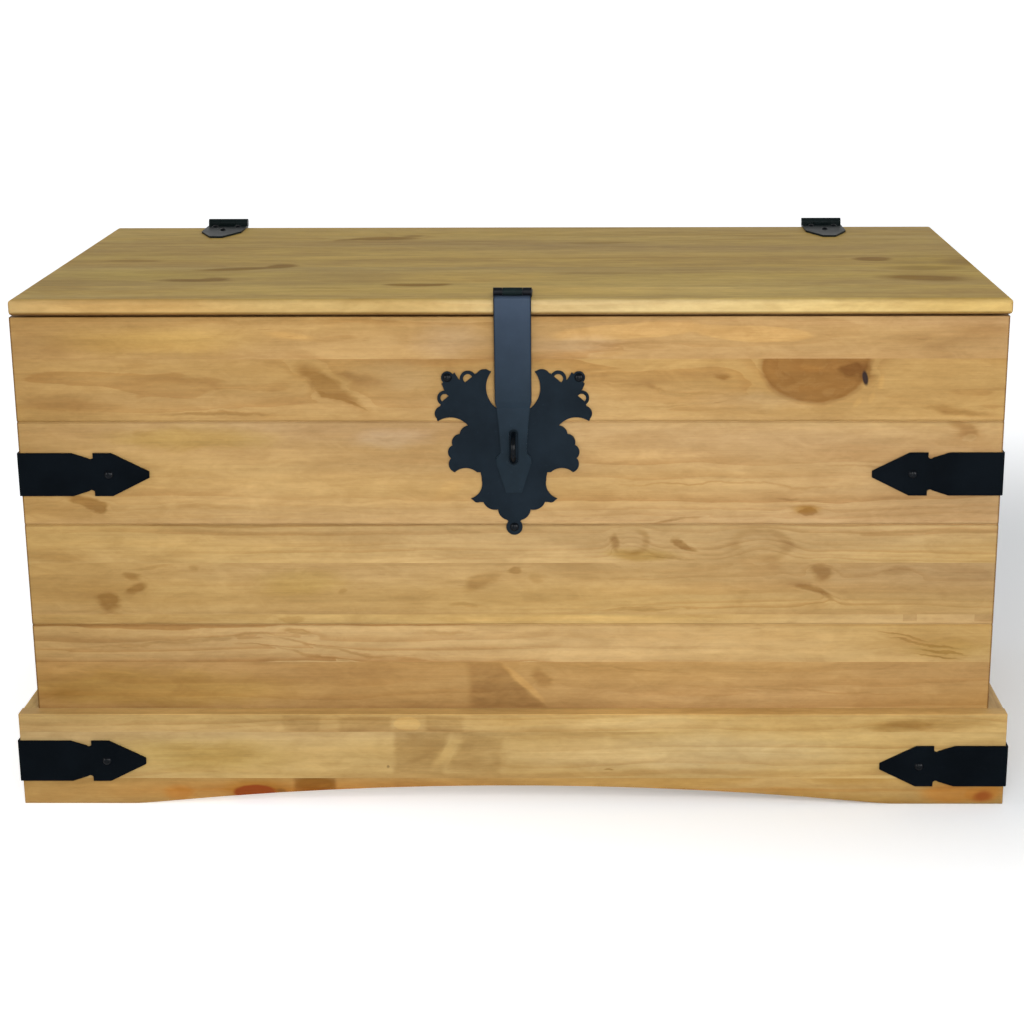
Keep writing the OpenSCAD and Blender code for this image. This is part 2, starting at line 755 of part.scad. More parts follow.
module hasp_leaf() {
  h = hasp_w / 2;
  m = hasp_mid / 2;
  c = hasp_knuckle_r + 0.5;
  color(iron) difference() {
    union() {
      translate([hasp_x, pin_y, lid_z1]) linear_extrude(iron_t) {
        translate([-h, c]) square([hasp_w, hasp_leaf_l - c]);
        translate([-m, -hasp_knuckle_r * 0.4]) square([2 * m, c + 3]);
      }
      rod_x(hasp_x - m, 2 * m, pin_y, pin_z, hasp_knuckle_r);
    }
    rod_x(hasp_x - m - 1, 2 * m + 2, pin_y, pin_z, hasp_pin_r);
    hasp_leaf_screw_places() translate([0, 0, -4]) cylinder(h = 6, r = screw_hole);
  }
}

module hasp_pin() { color(iron) rod_x(hasp_x - hasp_w / 2, hasp_w, pin_y, pin_z, hasp_pin_r); }

// front outline of the hasp as (sideways, height above the floor)
module hasp_front() {
  difference() {
    polygon([[-16.6, 480], [16.6, 480], [16.3, 379], [14.8, 373], [12.8, 355], [11.6, 335], [11.9, 331.5], [15.4, 328], [15.4, 322.5],
      [7.1, 295.8], [-7.1, 295.8], [-15.4, 322.5], [-15.4, 328], [-11.9, 331.5], [-11.6, 335], [-12.8, 355], [-14.8, 373], [-16.3, 379]]);
    translate([-slot_w / 2, slot_low + slot_w / 2]) square([slot_w, slot_top - slot_low - slot_w]);
    for (z = [slot_low + slot_w / 2, slot_top - slot_w / 2]) translate([0, z]) circle(slot_w / 2);
  }
}

// side section of the hasp as (depth, height): over the lid's edge, down its front, then set in to lie on the plate
module hasp_side() {
  y_in = ff - lid_over - 1;
  y_out = y_in - iron_t;
  z_top = lid_z1 + 0.6 + iron_t;
  difference() {
    union() {
      difference() {
        translate([y_out, 380]) square([pin_y - y_out, z_top - 380]);
        translate([y_in, 379]) square([100, z_top - iron_t - 379]);
        translate([y_out, z_top]) mirror([0, 1]) corner_cut(3);
      }
      translate([y_in, z_top - iron_t]) mirror([0, 1]) corner_cut_in(1);
      polygon([[y_out, 380.01], [y_out, 379], [ff - plate_t - 0.4 - iron_t, 373], [ff - plate_t - 0.4 - iron_t, 290],
        [ff - plate_t - 0.4, 290], [ff - plate_t - 0.4, 373], [y_in, 379], [y_in, 380.01]]);
    }
  }
}

// fills the inside corner of radius r at the origin, the open side lying in +x +y
module corner_cut_in(r) {
  difference() {
    square([r, r]);
    translate([r, r]) circle(r);
  }
}

module hasp_strap() {
  h = hasp_w / 2;
  m = hasp_mid / 2 + knuckle_gap;
  c = hasp_knuckle_r + 0.5;
  color(iron) difference() {
    union() {
      intersection() {
        along_x(hasp_x - 20, 40) hasp_side();
        along_y(ff - 40, 80) translate([hasp_x, 0]) hasp_front();
      }
      for (s = [-1, 1]) rod_x(s > 0 ? hasp_x + m : hasp_x - h, h - m, pin_y, pin_z, hasp_knuckle_r);
    }
    // room for the fixed middle knuckle
    translate([hasp_x - m, pin_y - c, lid_z1 - 1]) cube([2 * m, 20, 20]);
    rod_x(hasp_x - h - 1, hasp_w + 2, pin_y, pin_z, hasp_pin_r + 0.06);
  }
}

// ---- lid stay -------------------------------------------------------------------------------------

// arm as (distance from its pivot, sideways), with the slot that runs over the guide pin
module arm_outline() {
  s0 = d_shut - 4;
  s1 = d_open;
  e = s1 + guide_r + 8;
  r = arm_w / 2;
  difference() {
    union() {
      circle(r);
      translate([0, -r]) square([e - r, arm_w]);
      translate([e - r, 0]) circle(r);
    }
    circle(2.56);
    hull_slot(s0, s1, guide_r + 0.3);
  }
}

module hull_slot(a, b, r) {
  translate([a, 0]) circle(r);
  translate([b, 0]) circle(r);
  translate([a, -r]) square([b - a, 2 * r]);
}

module stay_arm() {
  color(zinc) translate([arm_x, ly, lz]) rotate([90, 0, 90]) rotate([0, 0, arm_dir]) linear_extrude(arm_t) arm_outline();
}

// foot under the lid, ear beside the arm and the rivet that the arm turns on
module stay_bracket() {
  xe = arm_x - 3.7;
  color(zinc) difference() {
    union() {
      translate([xe - 22, ly - 14, lid_z0 - 2]) cube([24, 28, 2]);
      translate([xe, ly - 8, lz]) cube([2, 16, lid_z0 - lz]);
      rod_x(xe, 2, ly, lz, 8);
      rod_x(xe, 3.4, ly, lz, 4);
      rod_x(xe, arm_x + arm_t + 0.3 - xe, ly, lz, 2.5);
      rod_x(arm_x + arm_t + 0.3, 1.5, ly, lz, 4.5);
    }
    bracket_screw_places() translate([0, 0, -5]) cylinder(h = 10, r = screw_hole);
  }
}

module bracket_screw_places() {
  for (s = [-1, 1]) translate([arm_x - 15.7, ly + s * 8, lid_z0 - 2]) rotate([180, 0, 0]) children();
}

// plate on the right wall with the headed guide pin
module stay_guide() {
  xw = wall_in;
  color(zinc) difference() {
    union() {
      translate([xw - 2.5, gy - 12, gz - 22]) cube([2.5, 24, 44]);
      rod_x(arm_x + arm_t + 0.5, xw - 2 - (arm_x + arm_t + 0.5), gy, gz, 5.5);
      rod_x(arm_x - 1.4, 8, gy, gz, guide_r);
      rod_x(arm_x - 2.9, 1.5, gy, gz, 5.5);
    }
    guide_screw_places() translate([0, 0, -5]) cylinder(h = 10, r = screw_hole);
  }
}

module guide_screw_places() {
  for (s = [-1, 1]) translate([wall_in - 2.5, gy, gz + s * 16]) rotate([0, -90, 0]) children();
}

// ---- screws of the hardware ---------------------------------------------------------------------------

module body_hardware_screws() {
  color(iron) {
    for (x = hinge_xs) for (p = body_screws()) body_leaf_screw(x, p) round_screw();
    guide_screw_places() round_screw();
  }
}

module lid_hardware_screws() {
  color(iron) {
    for (x = hinge_xs) for (p = lid_screws()) lid_leaf_screw(x, p) round_screw();
    hasp_leaf_screw_places() round_screw();
    bracket_screw_places() round_screw();
  }
}

front_board_1();
front_board_2();
front_board_3();
front_board_4();
back_board_1();
back_board_2();
back_board_3();
back_board_4();
left_board_1();
left_board_2();
left_board_3();
left_board_4();
right_board_1();
right_board_2();
right_board_3();
right_board_4();
post_front_left();
post_front_right();
post_back_left();
post_back_right();
bottom_panel();
cleat_front();
cleat_back();
cleat_left();
cleat_right();
cleat_screws();
plinth_front();
plinth_left();
plinth_right();
plinth_back();
body_strap_left();
body_strap_right();
plinth_strap_left();
plinth_strap_right();
strap_nails();
hasp_plate();
plate_nails();
staple();
hinge_body_leaf_left();
hinge_body_leaf_right();
hinge_pins();
stay_guide();
body_hardware_screws();
lid_board_1();
lid_board_2();
lid_board_3();
lid_board_4();
lid_batten_left();
lid_batten_right();
batten_screws();
hinge_lid_leaf_left();
hinge_lid_leaf_right();
lid_hardware_screws();
hasp_leaf();
hasp_pin();
stay_bracket();
hasp_strap();
stay_arm();
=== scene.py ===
import json
import math
import random

import bmesh
import bpy
import numpy as np
from mathutils import Matrix, Vector


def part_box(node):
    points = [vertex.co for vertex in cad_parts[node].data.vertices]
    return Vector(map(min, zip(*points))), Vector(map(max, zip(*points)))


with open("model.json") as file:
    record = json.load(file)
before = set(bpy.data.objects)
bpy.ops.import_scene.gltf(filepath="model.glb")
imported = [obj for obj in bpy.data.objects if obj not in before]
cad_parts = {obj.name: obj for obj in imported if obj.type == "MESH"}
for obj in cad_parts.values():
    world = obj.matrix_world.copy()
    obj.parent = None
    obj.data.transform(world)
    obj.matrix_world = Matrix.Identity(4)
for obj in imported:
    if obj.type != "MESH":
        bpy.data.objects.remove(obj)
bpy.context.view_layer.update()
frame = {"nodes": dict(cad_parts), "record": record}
NODES = frame["nodes"]
scene = bpy.context.scene

# where the fixed planes of the chest are, read from the frame
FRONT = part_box("front_board_1")[0].y
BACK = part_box("back_board_1")[1].y
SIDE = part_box("front_board_1")[1].x
LID_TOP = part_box("lid_board_2")[1].z


# ---------------------------------------------------------------- camera and light
def make_camera():
    yaw, pitch, roll = 0.01054, 0.29747, -0.0033
    cp, sp, cy, sy = math.cos(pitch), math.sin(pitch), math.cos(yaw), math.sin(yaw)
    look = Vector((-sy * cp, cy * cp, -sp))
    right = Vector((cy, sy, 0))
    up = right.cross(look)
    r2 = math.cos(roll) * right + math.sin(roll) * up
    u2 = -math.sin(roll) * right + math.cos(roll) * up
    data = bpy.data.cameras.new("camera")
    cam = bpy.data.objects.new("camera", data)
    scene.collection.objects.link(cam)
    m = Matrix((r2, u2, -look)).transposed().to_4x4()
    m.translation = Vector((0.06535, -2.15099, 0.78456))
    cam.matrix_world = m
    data.sensor_width = 36
    data.lens = 2200.886 * 36 / 1024
    data.shift_x = (512 - 560.699) / 1024
    data.shift_y = (597.575 - 512) / 1024
    data.clip_start, data.clip_end = 0.05, 50
    scene.camera = cam


def area_light(name, at, aim, size, power, color=(1, 1, 1), size_y=None):
    data = bpy.data.lights.new(name, "AREA")
    data.energy, data.color, data.size = power, color, size
    if size_y:
        data.shape, data.size_y = "RECTANGLE", size_y
    o = bpy.data.objects.new(name, data)
    scene.collection.objects.link(o)
    o.location = at
    o.rotation_mode = "QUATERNION"
    o.rotation_quaternion = (Vector(aim) - Vector(at)).to_track_quat("-Z", "Y")
    o.visible_camera = False
    return o


def make_stage():
    me = bpy.data.meshes.new("floor")
    s = 24.0
    me.from_pydata([(-s, -s, 0), (s, -s, 0), (s, s, 0), (-s, s, 0)], [], [(0, 1, 2, 3)])
    floor = bpy.data.objects.new("floor", me)
    scene.collection.objects.link(floor)
    mat = bpy.data.materials.new("studio_floor")
    mat.use_nodes = True
    b = mat.node_tree.nodes["Principled BSDF"]
    b.inputs["Base Color"].default_value = (0.775, 0.80, 0.825, 1)
    b.inputs["Roughness"].default_value = 0.9
    b.inputs["Specular IOR Level"].default_value = 0.1
    b.inputs["Emission Color"].default_value = (1, 1, 1, 1)
    # a light table: the floor glows, painted light, a little more away from a point behind the chest's right end, so
    # it runs out to white and stays dimmer near the chest, a painted shadow to its right
    nt = mat.node_tree
    tc = nt.nodes.new("ShaderNodeTexCoord")
    far = nt.nodes.new("ShaderNodeVectorMath")
    far.operation = "LENGTH"
    glow = nt.nodes.new("ShaderNodeMapRange")
    glow.interpolation_type = "SMOOTHSTEP"
    off = nt.nodes.new("ShaderNodeVectorMath")
    off.inputs[1].default_value = (-0.60, -0.30, 0)
    nt.links.new(tc.outputs["Object"], off.inputs[0])
    nt.links.new(off.outputs[0], far.inputs[0])
    nt.links.new(far.outputs["Value"], glow.inputs["Value"])
    for k, v in (("From Min", 0.35), ("From Max", 1.30), ("To Min", 0.18), ("To Max", 0.66)):
        glow.inputs[k].default_value = v
    nt.links.new(glow.outputs[0], b.inputs["Emission Strength"])
    me.materials.append(mat)
    world = bpy.data.worlds.new("studio")
    world.use_nodes = True
    nt = world.node_tree
    tc = nt.nodes.new("ShaderNodeTexCoord")
    sep = nt.nodes.new("ShaderNodeSeparateXYZ")
    span = nt.nodes.new("ShaderNodeMapRange")
    span.interpolation_type = "SMOOTHSTEP"
    nt.links.new(tc.outputs["Generated"], sep.inputs[0])
    nt.links.new(sep.outputs["Z"], span.inputs["Value"])
    for k, v in (("From Min", 0.08), ("From Max", 0.85), ("To Min", HORIZON), ("To Max", ZENITH)):
        span.inputs[k].default_value = v
    nt.links.new(span.outputs[0], nt.nodes["Background"].inputs["Strength"])
    nt.nodes["Background"].inputs["Color"].default_value = (1, 1, 1, 1)
    scene.world = world


HORIZON, ZENITH = 1.02, 0.34
make_camera()
make_stage()
area_light("key", (0.10, -2.5, 1.55), (0.05, 0, 0.2), 0.9, 19)
area_light("front_fill", (0.27, -1.25, 0.60), (0.20, 0, 0.24), 0.5, 4.8)
for side, where, power in (("left", (-2.2, -1.9, 1.05), 32), ("right", (2.3, -1.8, 1.0), 54)):
    # soft boxes out to the sides that only show as glints on the lacquered nail heads
    glint = area_light("glint_" + side, where, (0.05, 0, 0.25), 0.9, power, size_y=1.2)
    glint.visible_diffuse = False
scene.view_settings.view_transform = "Standard"
scene.view_settings.look = "None"


# ---------------------------------------------------------------- node building
class Tree:
    """Small helper that builds a material's node tree one call at a time."""

    def __init__(self, name):
        self.mat = bpy.data.materials.new(name)
        self.mat.use_nodes = True
        self.nt = self.mat.node_tree
        self.nt.nodes.clear()

    def node(self, kind, **props):
        n = self.nt.nodes.new(kind)
        for k, v in props.items():
            setattr(n, k, v)
        return n

    def put(self, socket, v):
        if isinstance(v, bpy.types.NodeSocket):
            self.nt.links.new(v, socket)
        elif v is not None:
            socket.default_value = v

    def math(self, op, a, b=None, c=None, clamp=False):
        n = self.node("ShaderNodeMath", operation=op, use_clamp=clamp)
        for s, v in zip(n.inputs, (a, b, c)):
            self.put(s, v)
        return n.outputs[0]

    def vec(self, op, a, b=None, scale=None):
        n = self.node("ShaderNodeVectorMath", operation=op)
        self.put(n.inputs[0], a)
        if b is not None:
            self.put(n.inputs[1], b)
        if scale is not None:
            self.put(n.inputs["Scale"], scale)
        return n.outputs["Value"] if op in ("LENGTH", "DOT_PRODUCT", "DISTANCE") else n.outputs["Vector"]

    def span(self, v, a, b, c=0.0, d=1.0, smooth=True):
        n = self.node("ShaderNodeMapRange", interpolation_type="SMOOTHSTEP" if smooth else "LINEAR")
        for s, x in zip(n.inputs[:5], (v, a, b, c, d)):
            self.put(s, x)
        return n.outputs[0]

    def noise(self, p, scale, detail=2.0, rough=0.5, seed=0.0, color=False, distortion=0.0):
        """Noise at p, where scale is one number or a number for each axis, in features per metre."""
        if not isinstance(scale, (int, float)):
            p = self.vec("MULTIPLY", p, tuple(scale))
            scale = 1.0
        if seed:
            p = self.vec("ADD", p, (seed * 7.31 % 97, seed * 3.77 % 53, seed * 11.9 % 71))
        n = self.node("ShaderNodeTexNoise", noise_dimensions="3D")
        self.put(n.inputs["Vector"], p)
        n.inputs["Scale"].default_value = scale
        n.inputs["Detail"].default_value = detail
        n.inputs["Roughness"].default_value = rough
        n.inputs["Distortion"].default_value = distortion
        return n.outputs["Color" if color else "Fac"]

    def mix(self, fac, a, b, blend="MIX"):
        n = self.node("ShaderNodeMix", data_type="RGBA", blend_type=blend)
        self.put(n.inputs[0], fac)
        self.put(n.inputs[6], a if isinstance(a, bpy.types.NodeSocket) else (*a, 1))
        self.put(n.inputs[7], b if isinstance(b, bpy.types.NodeSocket) else (*b, 1))
        return n.outputs[2]

    def scale_color(self, c, v):
        """Colour c times the number v."""
        return self.vec("SCALE", c, scale=v)

    def finish(self, color, rough, height=None, distance=0.0003, strength=0.5, **fixed):
        out = self.node("ShaderNodeOutputMaterial")
        b = self.node("ShaderNodeBsdfPrincipled")
        self.put(b.inputs["Base Color"], color)
        self.put(b.inputs["Roughness"], rough)
        for k, v in fixed.items():
            b.inputs[k.replace("_", " ")].default_value = v
        if height is not None:
            bump = self.node("ShaderNodeBump")
            bump.inputs["Strength"].default_value = strength
            bump.inputs["Distance"].default_value = distance
            self.put(bump.inputs["Height"], height)
            self.put(b.inputs["Normal"], bump.outputs[0])
        self.put(out.inputs["Surface"], b.outputs[0])
        return self.mat


# ---------------------------------------------------------------- pine
AXES = {  # board's own axes (along the grain, across the face, through the board) as object axes
    "front": (0, 2, 1),
    "side": (1, 2, 0),
    "lid": (0, 1, 2),
    "post": (2, 0, 1),
    "batten": (1, 0, 2),
}
DARK = (0.665, 0.575, 0.43)
LIGHT = (1.20, 1.18, 1.10)
PALE_TINT = (1.10, 1.20, 1.55)
SHADE = (0.70, 0.635, 0.56)


def pine(name, axes, seed, tone, centre, glue=(), tones=None, feats=(), gap=0.0062, pith=(0.02, 0.075),
         rings=1.0, wander=1.0, streak=1.0, late_tone=(0.78, 0.66, 0.53), taper=0.006, gloss=0.09, warp=0.7, edge_tint=None, top_tint=None, under_tint=None, lean=None, calm=1.0, dark=DARK, arris=None):
    """Sawn pine in the object's own space: growth rings round a pith outside the board, knots, streaks, fibre and pores.
    tone is the colour of the early wood, centre the board's middle (across, through), glue the places across the face
    where narrower strips are glued together, tones a tint for each strip, and feats the knots and patches in mm."""
    t = Tree(name)
    tc = t.node("ShaderNodeTexCoord")
    sep = t.node("ShaderNodeSeparateXYZ")
    t.put(sep.inputs[0], tc.outputs["Object"])
    order = AXES[axes]
    com = t.node("ShaderNodeCombineXYZ")
    for i in range(3):
        t.put(com.inputs[i], sep.outputs[order[i]])
    q = com.outputs[0]
    qa, qc, qd = (sep.outputs[order[i]] for i in range(3))

    # strips
    strip = None
    for g in glue:
        s = t.math("GREATER_THAN", qc, g)
        strip = s if strip is None else t.math("ADD", strip, s)
    p = t.vec("ADD", q, (seed * 1.713 % 9, seed * 0.931 % 7, seed * 2.37 % 5))
    if strip is not None:
        jump = t.vec("SCALE", (1.371, 0.613, 0.433), scale=strip)
        p = t.vec("ADD", p, jump)

    # wandering of the grain
    w1 = t.math("MULTIPLY", t.math("SUBTRACT", t.noise(p, (1.3, 5, 5), 2, 0.5), 0.5), 0.05 * wander)
    w2 = t.math("MULTIPLY", t.math("SUBTRACT", t.noise(p, (4.5, 26, 26), 3, 0.55), 0.5), 0.015 * wander)
    w3 = t.math("MULTIPLY", t.math("SUBTRACT", t.noise(p, (22, 160, 160), 2, 0.5), 0.5), 0.0013 * wander)

    # knots and patches
    flat = t.vec("MULTIPLY", q, (1, 1, 0))
    wob = t.vec("SUBTRACT", t.noise(p, (32, 70, 70), 3, 0.6, color=True), (0.5, 0.5, 0.5))
    wob2 = t.vec("MULTIPLY", wob, (0.030, 0.014, 0.0))
    broad = t.vec("SUBTRACT", t.noise(p, (14, 30, 30), 1, 0.5, 12.0, color=True), (0.5, 0.5, 0.5))
    wob2 = t.vec("SCALE", t.vec("ADD", wob2, t.vec("MULTIPLY", broad, (0.045, 0.016, 0.0))), scale=warp)
    fpos = t.vec("ADD", flat, wob2)
    near = t.vec("ADD", flat, t.vec("SCALE", wob2, scale=0.3))
    acc = {"cut": None, "shade": None, "pale": None, "knot": None, "dark": None, "light": None, "red": None, "yel": None, "orange": None, "amber": None, "core": None}
    rise = None

    def add(key, v):
        acc[key] = v if acc[key] is None else t.math("ADD", acc[key], v)

    for kind, fx, fz, hx, hz, ang, power, soft, only in feats:
        m = t.node("ShaderNodeMapping", vector_type="TEXTURE")
        sharp = kind in ("block", "core", "core2")
        t.put(m.inputs["Vector"], flat if sharp else near if kind in ("knot", "eye", "slab", "cut", "light", "red", "orange", "amber") else fpos)
        m.inputs["Location"].default_value = (fx / 1000, fz / 1000, 0)
        m.inputs["Rotation"].default_value = (0, 0, math.radians(ang))
        m.inputs["Scale"].default_value = (hx / 1000, hz / 1000, 1)
        here = m.outputs[0]
        if kind in ("block", "slab"):
            a = t.vec("ABSOLUTE", here)
            sp = t.node("ShaderNodeSeparateXYZ")
            t.put(sp.inputs[0], a)
            d = t.math("MAXIMUM", sp.outputs[0], sp.outputs[1])
            mask = t.span(d, 1.04, 0.96) if kind == "block" else t.span(d, 1.08, 0.80)
        else:
            d = t.vec("LENGTH", here)
            mask = t.span(d, 1.0, max(0.0, min(soft, 0.96)))
        limit = None
        if only is not None and strip is not None:
            limit = t.math("COMPARE", strip, float(only), 0.4)
            mask = t.math("MULTIPLY", mask, limit)
        if kind == "knot":
            lift = t.math("MULTIPLY", t.span(d, 1.6, 0.0), 0.022)
            if limit is not None:
                lift = t.math("MULTIPLY", lift, limit)
            rise = lift if rise is None else t.math("ADD", rise, lift)
            rings_in = t.noise(here, 2.2, 4, 0.6, 4.4, distortion=1.5)
            add("knot", t.math("MULTIPLY", mask, t.span(rings_in, 0.32, 0.66, power * 0.76, power * 1.08)))
            rim = t.math("MULTIPLY", t.span(d, 0.80, 0.97), t.span(d, 1.05, 0.99))
            if limit is not None:
                rim = t.math("MULTIPLY", rim, limit)
            add("dark", t.math("MULTIPLY", rim, 0.45))
        elif kind == "eye":
            rim = t.math("MULTIPLY", t.span(d, 0.55, 0.86), t.span(d, 1.18, 0.92))
            rim = t.math("MULTIPLY", rim, t.span(t.noise(p, (22, 40, 40), 1, 0.5, 3.1), 0.38, 0.62, 0.25, 1.0))
            if limit is not None:
                rim = t.math("MULTIPLY", rim, limit)
            add("dark", t.math("MULTIPLY", rim, power))
            lift = t.math("MULTIPLY", t.span(d, 1.9, 0.0), 0.012)
            rise = lift if rise is None else t.math("ADD", rise, lift)
        elif kind in ("block", "slab"):
            add("shade", t.math("MULTIPLY", mask, power))
        elif kind in ("core", "core2"):
            add("core", t.math("MULTIPLY", mask, power if kind == "core" else power * 0.6))
        else:
            add(kind, t.math("MULTIPLY", mask, power))
            if kind == "dark" and hx * hz > 60:
                lift = t.math("MULTIPLY", t.span(d, 1.8, 0.0), 0.007 * power)
                rise = lift if rise is None else t.math("ADD", rise, lift)

    # rings
    pc, pd = pith
    oc = t.math("ADD", qc, -(centre[0] + pc))
    od = t.math("ADD", qd, -(centre[1] + pd))
    if strip is not None:
        oc = t.math("MULTIPLY_ADD", strip, -0.043, oc)
        od = t.math("MULTIPLY_ADD", strip, 0.031, od)
    oc = t.math("ADD", oc, w1)
    r = t.math("SQRT", t.math("ADD", t.math("MULTIPLY", oc, oc), t.math("MULTIPLY", od, od)))
    r = t.math("ADD", r, w2)
    r = t.math("ADD", r, w3)
    r = t.math("MULTIPLY_ADD", qa, taper, r)
    if rise is not None:
        r = t.math("ADD", r, rise)
    uneven = t.node("ShaderNodeTexNoise", noise_dimensions="1D")
    t.put(uneven.inputs["W"], t.math("ADD", r, seed * 0.37))
    uneven.inputs["Scale"].default_value = 45
    uneven.inputs["Detail"].default_value = 1
    phase = t.math("MULTIPLY_ADD", uneven.outputs["Fac"], 2.2, t.math("DIVIDE", r, gap))
    whole = t.math("FLOOR", phase)
    part = t.math("FRACT", phase)
    late = t.math("MULTIPLY", t.span(part, 0.30, 0.90), t.span(part, 1.0, 0.93))
    vary = t.node("ShaderNodeTexWhiteNoise", noise_dimensions="1D")
    t.put(vary.inputs["W"], t.math("ADD", whole, seed))
    late = t.math("MULTIPLY", late, t.span(vary.outputs[0], 0, 1, 0.35, 1.0, smooth=False))
    shown = t.span(t.noise(p, (1.7, 9, 9), 2, 0.5, 5.0), 0.36, 0.64, 0.15, 1.15)
    late_seen = t.math("MULTIPLY", t.math("MULTIPLY", late, shown), rings)

    face = t.node("ShaderNodeSeparateXYZ")
    t.put(face.inputs[0], tc.outputs["Normal"])

    # other figure
    cloud = t.noise(p, (2.4, 13, 13), 4, 0.58, 9.0)
    cloud2 = t.noise(p, (9, 40, 40), 3, 0.6, 2.0, distortion=0.4)
    hue = t.noise(p, (0.9, 9, 9), 2, 0.5, 13.0)
    band = t.noise(p, (1.2, 75, 75), 3, 0.55, 4.0)
    flow = t.noise(p, (15, 130, 130), 3, 0.6, 11.0, distortion=0.6)
    blotch = t.noise(p, (26, 72, 72), 3, 0.62, 21.0, distortion=0.9)
    crumb = t.noise(p, (150, 400, 400), 2, 0.6, 23.0)
    fibre = t.noise(p, (11, 520, 520), 3, 0.62, 6.0)
    fine = t.noise(p, (45, 1700, 1700), 1, 0.5, 8.0)
    pores = t.span(t.noise(p, (55, 1250, 1250), 1, 0.4, 1.0), 0.70, 0.80)

    col = t.mix(late_seen, tone, tuple(a * b for a, b in zip(tone, late_tone)))
    if tones:
        cur = t.vec("ADD", (0, 0, 0), tuple(tones[0]))
        for k in range(1, len(tones)):
            cur = t.mix(t.math("GREATER_THAN", strip, k - 0.5), cur, tuple(tones[k]))
        col = t.vec("MULTIPLY", col, cur)
    col = t.vec("MULTIPLY", col, t.mix(t.span(hue, 0.34, 0.66), (1.03, 1.01, 0.86), (0.985, 0.99, 1.09)))
    col = t.vec("MULTIPLY", col, t.mix(t.span(cloud, 0.30, 0.70), (0.85, 0.825, 0.79), (1.09, 1.105, 1.12)))
    col = t.vec("MULTIPLY", col, t.mix(t.span(cloud2, 0.30, 0.70), (0.93, 0.91, 0.88), (1.05, 1.055, 1.06)))
    col = t.scale_color(col, t.span(band, 0.28, 0.72, 1 - 0.065 * streak, 1 + 0.045 * streak))
    col = t.scale_color(col, t.span(flow, 0.30, 0.70, 0.955, 1.035))
    col = t.vec("MULTIPLY", col, t.mix(t.span(blotch, 0.30, 0.70), (0.935, 0.915, 0.885), (1.05, 1.06, 1.07)))
    col = t.scale_color(col, t.span(crumb, 0.28, 0.72, 0.965, 1.03))
    col = t.scale_color(col, t.span(fibre, 0.25, 0.75, 1 - 0.065 * calm, 1 + 0.045 * calm, smooth=False))
    col = t.scale_color(col, t.span(fine, 0.25, 0.75, 1 - 0.03 * calm, 1 + 0.025 * calm, smooth=False))
    if acc["light"] is not None:
        col = t.mix(t.math("MINIMUM", acc["light"], 1.0), col, t.vec("MULTIPLY", col, LIGHT))
    if acc["yel"] is not None:
        col = t.mix(t.math("MINIMUM", acc["yel"], 1.0), col, t.vec("MULTIPLY", col, (0.96, 0.97, 0.76)))
    if acc["orange"] is not None:
        col = t.mix(t.math("MINIMUM", acc["orange"], 1.0), col, t.vec("MULTIPLY", col, (1.02, 0.72, 0.40)))
    if acc["amber"] is not None:
        col = t.mix(t.math("MINIMUM", acc["amber"], 1.0), col, t.vec("MULTIPLY", col, (0.80, 0.68, 0.34)))
    if acc["pale"] is not None:
        col = t.mix(t.math("MINIMUM", acc["pale"], 1.0), col, t.vec("MULTIPLY", col, PALE_TINT))
    if acc["shade"] is not None:
        if acc["cut"] is not None:
            acc["shade"] = t.math("MAXIMUM", t.math("SUBTRACT", acc["shade"], acc["cut"]), 0.0)
        mottle = t.span(t.noise(p, (26, 60, 60), 3, 0.6, 17.0, distortion=0.8), 0.32, 0.68, 0.62, 1.12)
        col = t.mix(t.math("MINIMUM", t.math("MULTIPLY", acc["shade"], mottle), 1.2), col, t.vec("MULTIPLY", col, SHADE))
    if acc["dark"] is not None:
        grained = t.math("MULTIPLY", acc["dark"], t.span(t.noise(p, (10, 150, 150), 3, 0.6, 7.7), 0.25, 0.75, 0.78, 1.12))
        if under_tint:
            grained = t.math("MULTIPLY", grained, t.span(face.outputs[2], -0.9, -0.6, 0.45, 1.0))
        col = t.mix(t.math("MINIMUM", grained, 1.25), col, t.vec("MULTIPLY", col, dark))
    if acc["knot"] is not None:
        col = t.mix(t.math("MINIMUM", acc["knot"], 1.2), col, t.vec("MULTIPLY", col, (0.65, 0.515, 0.345)))
    if acc["red"] is not None:
        col = t.mix(t.math("MINIMUM", acc["red"], 1.0), col, (0.200, 0.040, 0.005))
    if acc["core"] is not None:
        col = t.mix(t.math("MINIMUM", acc["core"], 1.0), col, (0.022, 0.012, 0.009))
    col = t.mix(t.math("MULTIPLY", pores, 0.28), col, t.vec("MULTIPLY", col, (0.55, 0.45, 0.36)))

    if edge_tint:  # the planed front edge is paler than the waxed top; its lower arris, facing down, is darkened as painted shade
        col = t.mix(t.span(face.outputs[1], -0.25, -0.70), col, t.vec("MULTIPLY", col, edge_tint))
        lower_arris_shade = t.math("MULTIPLY", t.span(face.outputs[2], -0.05, -0.65), t.span(face.outputs[1], -0.05, -0.3))
        col = t.mix(lower_arris_shade, col, t.vec("MULTIPLY", col, (0.42, 0.34, 0.22)))
    if under_tint:  # unwaxed underside
        col = t.mix(t.span(face.outputs[2], -0.6, -0.9), col, t.vec("MULTIPLY", col, under_tint))
    if top_tint:  # painted light: faces that look up, such as the plinth's ledge, are brightened as if lit from above
        col = t.mix(t.span(face.outputs[2], 0.5, 0.85), col, t.vec("MULTIPLY", col, top_tint))

    if lean:  # darker and yellower towards the left end: painted shade where less light falls
        col = t.vec("MULTIPLY", col, t.mix(t.span(qa, -0.46, -0.26, smooth=False), lean, (1, 1, 1)))

